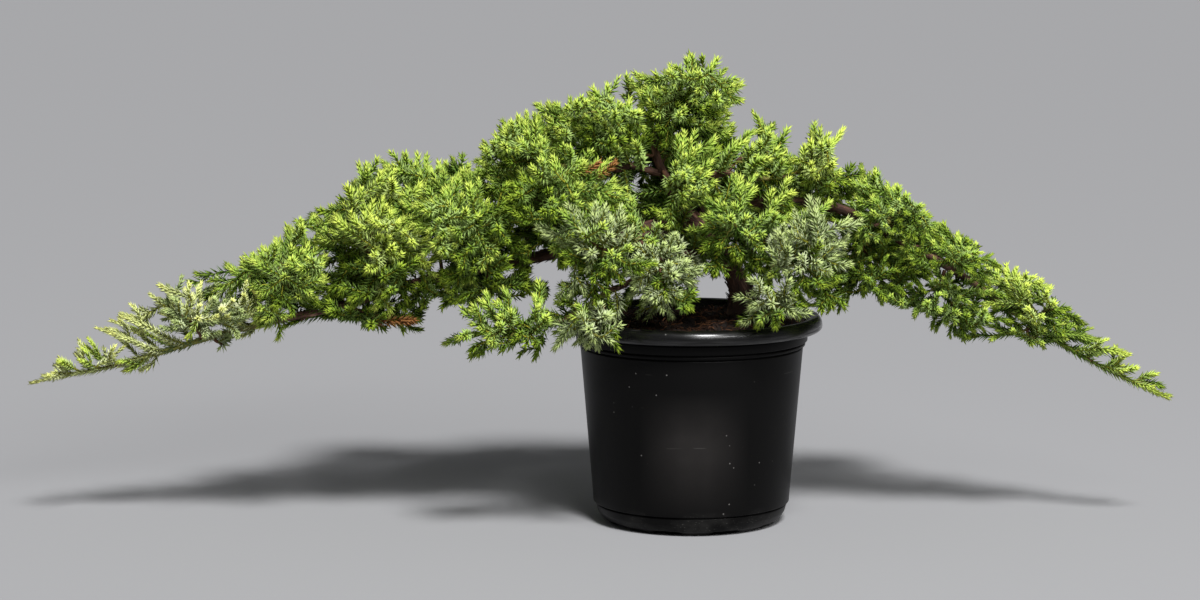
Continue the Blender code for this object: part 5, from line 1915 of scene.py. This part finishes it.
@dataclass
class NeedleMaker:
    """Dresses the shoots with needles, and gives the shoots and twigs their stems."""

    foliage: Foliage
    needle_width: float = 0.0020
    waist: float = 0.42
    waist_side: float = 0.8
    hook: float = 0.10
    limit: int = 190000
    faces_each: int = 4
    close_set_end: Span = (0.70, 0.985)
    closing_power: float = 1.6
    AGE_EDGES = (0.34, 0.60, 0.87)
    ROLL_PLAY = (-0.2, 0.2)
    TILT_PLAY = (-0.12, 0.12)
    SIZE_PLAY = (0.86, 1.1)
    AGE_PLAY = (-0.10, 0.10)
    SPREADS = (0.8, 1.1)
    STEM_RADII = (0.00070, 0.00040)
    SHOOT_STEM = PlainFinish("shoot_stem", (0.30, 0.29, 0.030), 0.5)
    PAD_STEM = PlainFinish("pad_stem", (0.105, 0.050, 0.028), 0.65)
    YOUNG_TWIG = PlainFinish("young_twig", (0.170, 0.165, 0.035), 0.6)

    def needle(self, length: float) -> Object:
        """One awl-shaped needle that stands up Z, with its upper face towards -X.

        Args:
            length: The needle's length.

        Returns:
            An object that carries the mesh, to be removed after use.
        """
        half = self.needle_width / 2
        waist, back = length * self.waist, -self.waist_side * half
        tip = (-self.hook * length, 0.0, length)
        corners = [(0.0, 0.0, 0.0), (back, half, waist), (back, -half, waist), tip]
        faces = [(0, 2, 1), (1, 2, 3), (0, 1, 3), (0, 3, 2)]
        mesh = bpy.data.meshes.new("needle")
        mesh.from_pydata(corners, [], faces)
        shape = bmesh.new()
        shape.from_mesh(mesh)
        bmesh.ops.recalc_face_normals(shape, faces=shape.faces)
        shape.to_mesh(mesh)
        shape.free()
        keep(mesh, "pale", [1.0 if k < 2 else 0.0 for k in range(len(faces))], domain="FACE")
        mesh.shade_smooth()
        return thing("needle", mesh)

    def needle_tree(self) -> GrowTree:
        """The tree that sets whorls of three needles along shoots."""
        inputs = {"Gap": "Float", "Open": "Float", "Closed": "Float", "Seed": "Int", "Needle": "Object"}
        inputs |= {label: "Material" for label in NeedleFinish.PARTS}
        tree = GrowTree("needles_on_shoots", inputs)
        lines = tree.add("GeometryNodeMeshToCurve", values={0: tree.given()})
        first, last = self.close_set_end
        ends = tree.add("GeometryNodeTrimCurve", {"mode": "FACTOR"}, {0: lines, 2: first, 3: last})
        both = tree.raw("GeometryNodeJoinGeometry")
        for run in (ends, lines):
            tree.tree.links.new(run.socket, both.inputs[0])
        values = {0: Wire(tree, both.outputs[0]), "Length": tree.given("Gap")}
        marks = tree.raw("GeometryNodeCurveToPoints", {"mode": "LENGTH"}, values)
        points, tangent, normal = (Wire(tree, marks.outputs[k]) for k in range(3))
        points = tree.store(points, "whorl", tree.add("GeometryNodeInputIndex"))
        copies = tree.raw("GeometryNodeDuplicateElements", {"domain": "POINT"}, {0: points, 2: 3})
        points, number = (Wire(tree, copies.outputs[k]) for k in range(2))
        seed = tree.given("Seed")
        roll = tree.named("whorl") * (pi / 3) + number * (2 * pi / 3)
        roll = roll + tree.chance(self.ROLL_PLAY, seed)
        along = tree.named("along")
        closing = along**self.closing_power
        open_angle, closed_angle = tree.given("Open"), tree.given("Closed")
        tilt = (open_angle + (closed_angle - open_angle) * closing) * tree.named("spread")
        tilt = tilt + tree.chance(self.TILT_PLAY, seed + 1.0)
        standing = tree.standing(tangent, normal)
        size = tree.named("size") * tree.chance(self.SIZE_PLAY, seed + 2.0)
        points = tree.store(points, "age", along + tree.chance(self.AGE_PLAY, seed + 3.0))
        needles = tree.place(points, "Needle", tree.turned(standing, tilt, roll), size)
        age = tree.named("age")
        pale = tree.named("pale").above(0.5)
        grown, young, bud = (age.above(edge) for edge in self.AGE_EDGES)
        for part, where in zip(NeedleFinish.PARTS, (None, grown, pale, young, bud)):
            needles = tree.dress(needles, part, where)
        return tree.close(needles)

    def stem_tree(self) -> GrowTree:
        """The tree that gives lines their thickness."""
        tree = GrowTree("stems", {"Sides": "Int", "Finish": "Material"})
        lines = tree.add("GeometryNodeMeshToCurve", values={0: tree.given()})
        circle = tree.add("GeometryNodeCurvePrimitiveCircle", values={0: tree.given("Sides"), 4: 1.0})
        values = {0: lines, 1: circle, 2: tree.named("thick"), 3: True}
        stems = tree.add("GeometryNodeCurveToMesh", values=values)
        stems = tree.add("GeometryNodeRealizeInstances", values={0: stems})
        return tree.close(tree.dress(stems, "Finish"))

    def lines(self, name: str, runs: list[tuple[Shoot | Path, int, dict]]) -> Mesh:
        """A mesh of loose lines along paths, or along the needled part of shoots.

        Args:
            name: The mesh's name.
            runs: For each path, its count of points and its named numbers as functions of the share along.

        Returns:
            The mesh, with an attribute for each name.
        """
        points, edges, numbers = [], [], {}
        for run, count, values in runs:
            first = len(points)
            path, start, end = (run.path, run.start, run.end) if isinstance(run, Shoot) else (run, 0.0, 1.0)
            points += path.cut(start, end, count)
            edges += [(first + k, first + k + 1) for k in range(count - 1)]
            for label, value in values.items():
                numbers.setdefault(label, []).extend(value(k / (count - 1)) for k in range(count))
        mesh = bpy.data.meshes.new(name)
        mesh.from_pydata(points, edges, [])
        for label, values in numbers.items():
            keep(mesh, label, values)
        return mesh

    def batches(self, shoots: list[Shoot]) -> list[list[Shoot]]:
        """Shoots in groups that each stay under the limit of triangles.

        Args:
            shoots: The shoots.

        Returns:
            The groups, in the same order.
        """
        rows_each = 1.36
        groups: list[list[Shoot]] = [[]]
        count = 0
        for shoot in shoots:
            run = shoot.path.span() * (shoot.end - shoot.start)
            more = (round(run * rows_each / shoot.habit.value.gap) + 2) * 3 * self.faces_each
            if count + more > self.limit:
                groups.append([])
                count = 0
            groups[-1].append(shoot)
            count += more
        return groups

    def build(self) -> None:
        """Makes every piece of needles, twigs and stems."""
        tree = self.needle_tree()
        done: set[str] = set()
        for tint in Tint:
            finishes = tint.value.materials(tint.name.lower())
            for habit in Habit:
                mine = [s for s in self.foliage.shoots if s.tint is tint and s.habit is habit]
                if mine:
                    self.build_needles(tree, tint, habit, mine, finishes, done)
        self.build_stems({pad.name for pad in self.foliage.pads} - done)

    def build_needles(
        self, tree: GrowTree, tint: Tint, habit: Habit, shoots: list[Shoot], finishes: dict, done: set[str]
    ) -> None:
        """Makes the needles of one tint and habit.

        Args:
            tree: The tree that sets needles along lines.
            tint: Their tint.
            habit: Their habit.
            shoots: The shoots that they grow on.
            finishes: The materials of each part of a needle.
            done: The pads that earlier pieces stand for, to which these add their own.
        """
        stance = habit.value
        tone = tint.name.lower()
        needle = self.needle(stance.length)
        for k, group in enumerate(self.batches(shoots)):
            draws = Random(f"{tint.name}{habit.name}{k}")
            base = self.lines("shoots", [(s, s.joints(), self.shoot_numbers(s, draws)) for s in group])
            values = {"Gap": stance.gap, "Open": stance.open_angle, "Closed": stance.closed_angle}
            mesh = tree.grow(base, values | {"Seed": k * 10 + 3, "Needle": needle} | finishes)
            own = {s.pad.name for s in group if s.pad.tone == tone} - done
            done |= own
            put(f"needles_{tone}_{habit.name.lower()}_{k + 1}", mesh, [], sorted(own))
        bpy.data.objects.remove(needle, do_unlink=True)

    def build_stems(self, rest: set[str]) -> None:
        """Makes the stems of shoots, which stand for the rest of the pads, then the pads' stems and twigs.

        Args:
            rest: The pads that no needles stand for.
        """
        tree = self.stem_tree()
        shoots = [(s.path, 4, {"thick": self.taper(*self.STEM_RADII)}) for s in self.foliage.shoots if s.stem]
        stems, twigs = (
            [(path, 8, {"thick": self.taper(a, b)}) for path, a, b in self.foliage.twigs if a == radius]
            for radius in (Foliage.STEM_RADII[0], Foliage.TWIG_RADII[0])
        )
        for name, finish, sides, runs, slot, stands_for in (
            ("shoot_stems", self.SHOOT_STEM, 3, shoots, "fresh_needles", sorted(rest)),
            ("pad_stems", self.PAD_STEM, 6, stems, "bark", []),
            ("young_twigs", self.YOUNG_TWIG, 4, twigs, "bark", []),
        ):
            values = {"Sides": sides, "Finish": finish.material()}
            put(name, tree.grow(self.lines(name, runs), values), [], stands_for)

    def taper(self, first: float, last: float) -> Callable[[float], float]:
        """A thickness that runs from first to last."""
        return lambda t: lerp(first, last, t)

    def shoot_numbers(self, shoot: Shoot, draws: Random) -> dict[str, Callable[[float], float]]:
        """The named numbers of a shoot's line: its needles are small at its root and at its tip."""
        spread = draws.uniform(*self.SPREADS)
        return {
            "along": lambda t: lerp(*shoot.ages, t),
            "size": lambda t: shoot.size * (0.72 + 0.28 * min(1.0, t * 4.0)) * (1.0 - 0.25 * t * t),
            "spread": lambda t: spread,
        }


@dataclass
class Studio:
    """A pale floor, soft lights, and a camera where the photograph was taken from."""

    pitch: float = radians(90.0 - 7.57)
    lens: float = 95.8
    floor_colour: Rgb = (0.33, 0.33, 0.34)
    floor_half: float = 30.0
    floor_drop: float = 0.0002
    sky: Rgb = (0.96, 0.98, 1.0)
    sky_strength: float = 0.15
    sun_side: Vector = Vector((0.28, -1.02, 1.28)).freeze()
    sun_spread: float = radians(13.0)
    sun_power: float = 4.25
    lamp_place: Vector = Vector((1.00, -1.72, 1.25)).freeze()
    lamp_target: Vector = Vector((-0.05, 0.0, 0.14)).freeze()
    lamp_size: Span = (2.0, 0.35)
    lamp_power: float = 22.0
    FLOOR_CORNERS = ((-1, -1), (1, -1), (1, 1), (-1, 1))

    def build(self) -> None:
        """Makes the camera, the lights and the floor."""
        scene = bpy.context.scene
        lens = bpy.data.cameras.new("camera")
        lens.lens = self.lens
        camera = thing("camera", lens)
        camera.location = EYE
        camera.rotation_euler = (self.pitch, 0.0, 0.0)
        scene.camera = camera
        self.sun()
        self.lamp()
        world = bpy.data.worlds.new("studio")
        world.use_nodes = True
        background = world.node_tree.nodes["Background"]
        background.inputs["Color"].default_value = (*self.sky, 1.0)
        background.inputs["Strength"].default_value = self.sky_strength
        scene.world = world
        scene.view_settings.view_transform = "Standard"
        mesh = bpy.data.meshes.new("floor")
        half = self.floor_half
        corners = [(x * half, y * half, -self.floor_drop) for x, y in self.FLOOR_CORNERS]
        mesh.from_pydata(corners, [], [(0, 1, 2, 3)])
        mesh.materials.append(PlainFinish("floor", self.floor_colour, 0.9).material())
        thing("floor", mesh)

    def sun(self) -> None:
        """Makes the broad even light that comes from one side."""
        light = bpy.data.lights.new("key", "SUN")
        light.angle = self.sun_spread
        light.energy = self.sun_power
        thing("key", light).rotation_euler = self.aim(-self.sun_side)

    def lamp(self) -> None:
        """Makes the soft oblong light that faces the plant."""
        light = bpy.data.lights.new("front", "AREA")
        light.shape = "RECTANGLE"
        light.size, light.size_y = self.lamp_size
        light.energy = self.lamp_power
        lamp = thing("front", light)
        lamp.location = self.lamp_place
        lamp.rotation_euler = self.aim(self.lamp_target - self.lamp_place)

    def aim(self, direction: Vector) -> Euler:
        """The turn of a light that shines in a direction."""
        return direction.to_track_quat("-Z", "Y").to_euler()


def main() -> None:
    """Builds the plant and its studio."""
    logging.basicConfig(level=logging.INFO, format="%(message)s")
    Studio().build()
    bark = BarkFinish().material()
    wood = Wood()
    wood.build(bark)
    pot = Pot()
    pot.build(PlasticFinish().material())
    compost = Compost(pot, Wood.FOOT)
    compost.build()
    foliage = Foliage(wood, compost)
    foliage.grow()
    NeedleMaker(foliage).build()


if __name__ == "__main__":
    main()
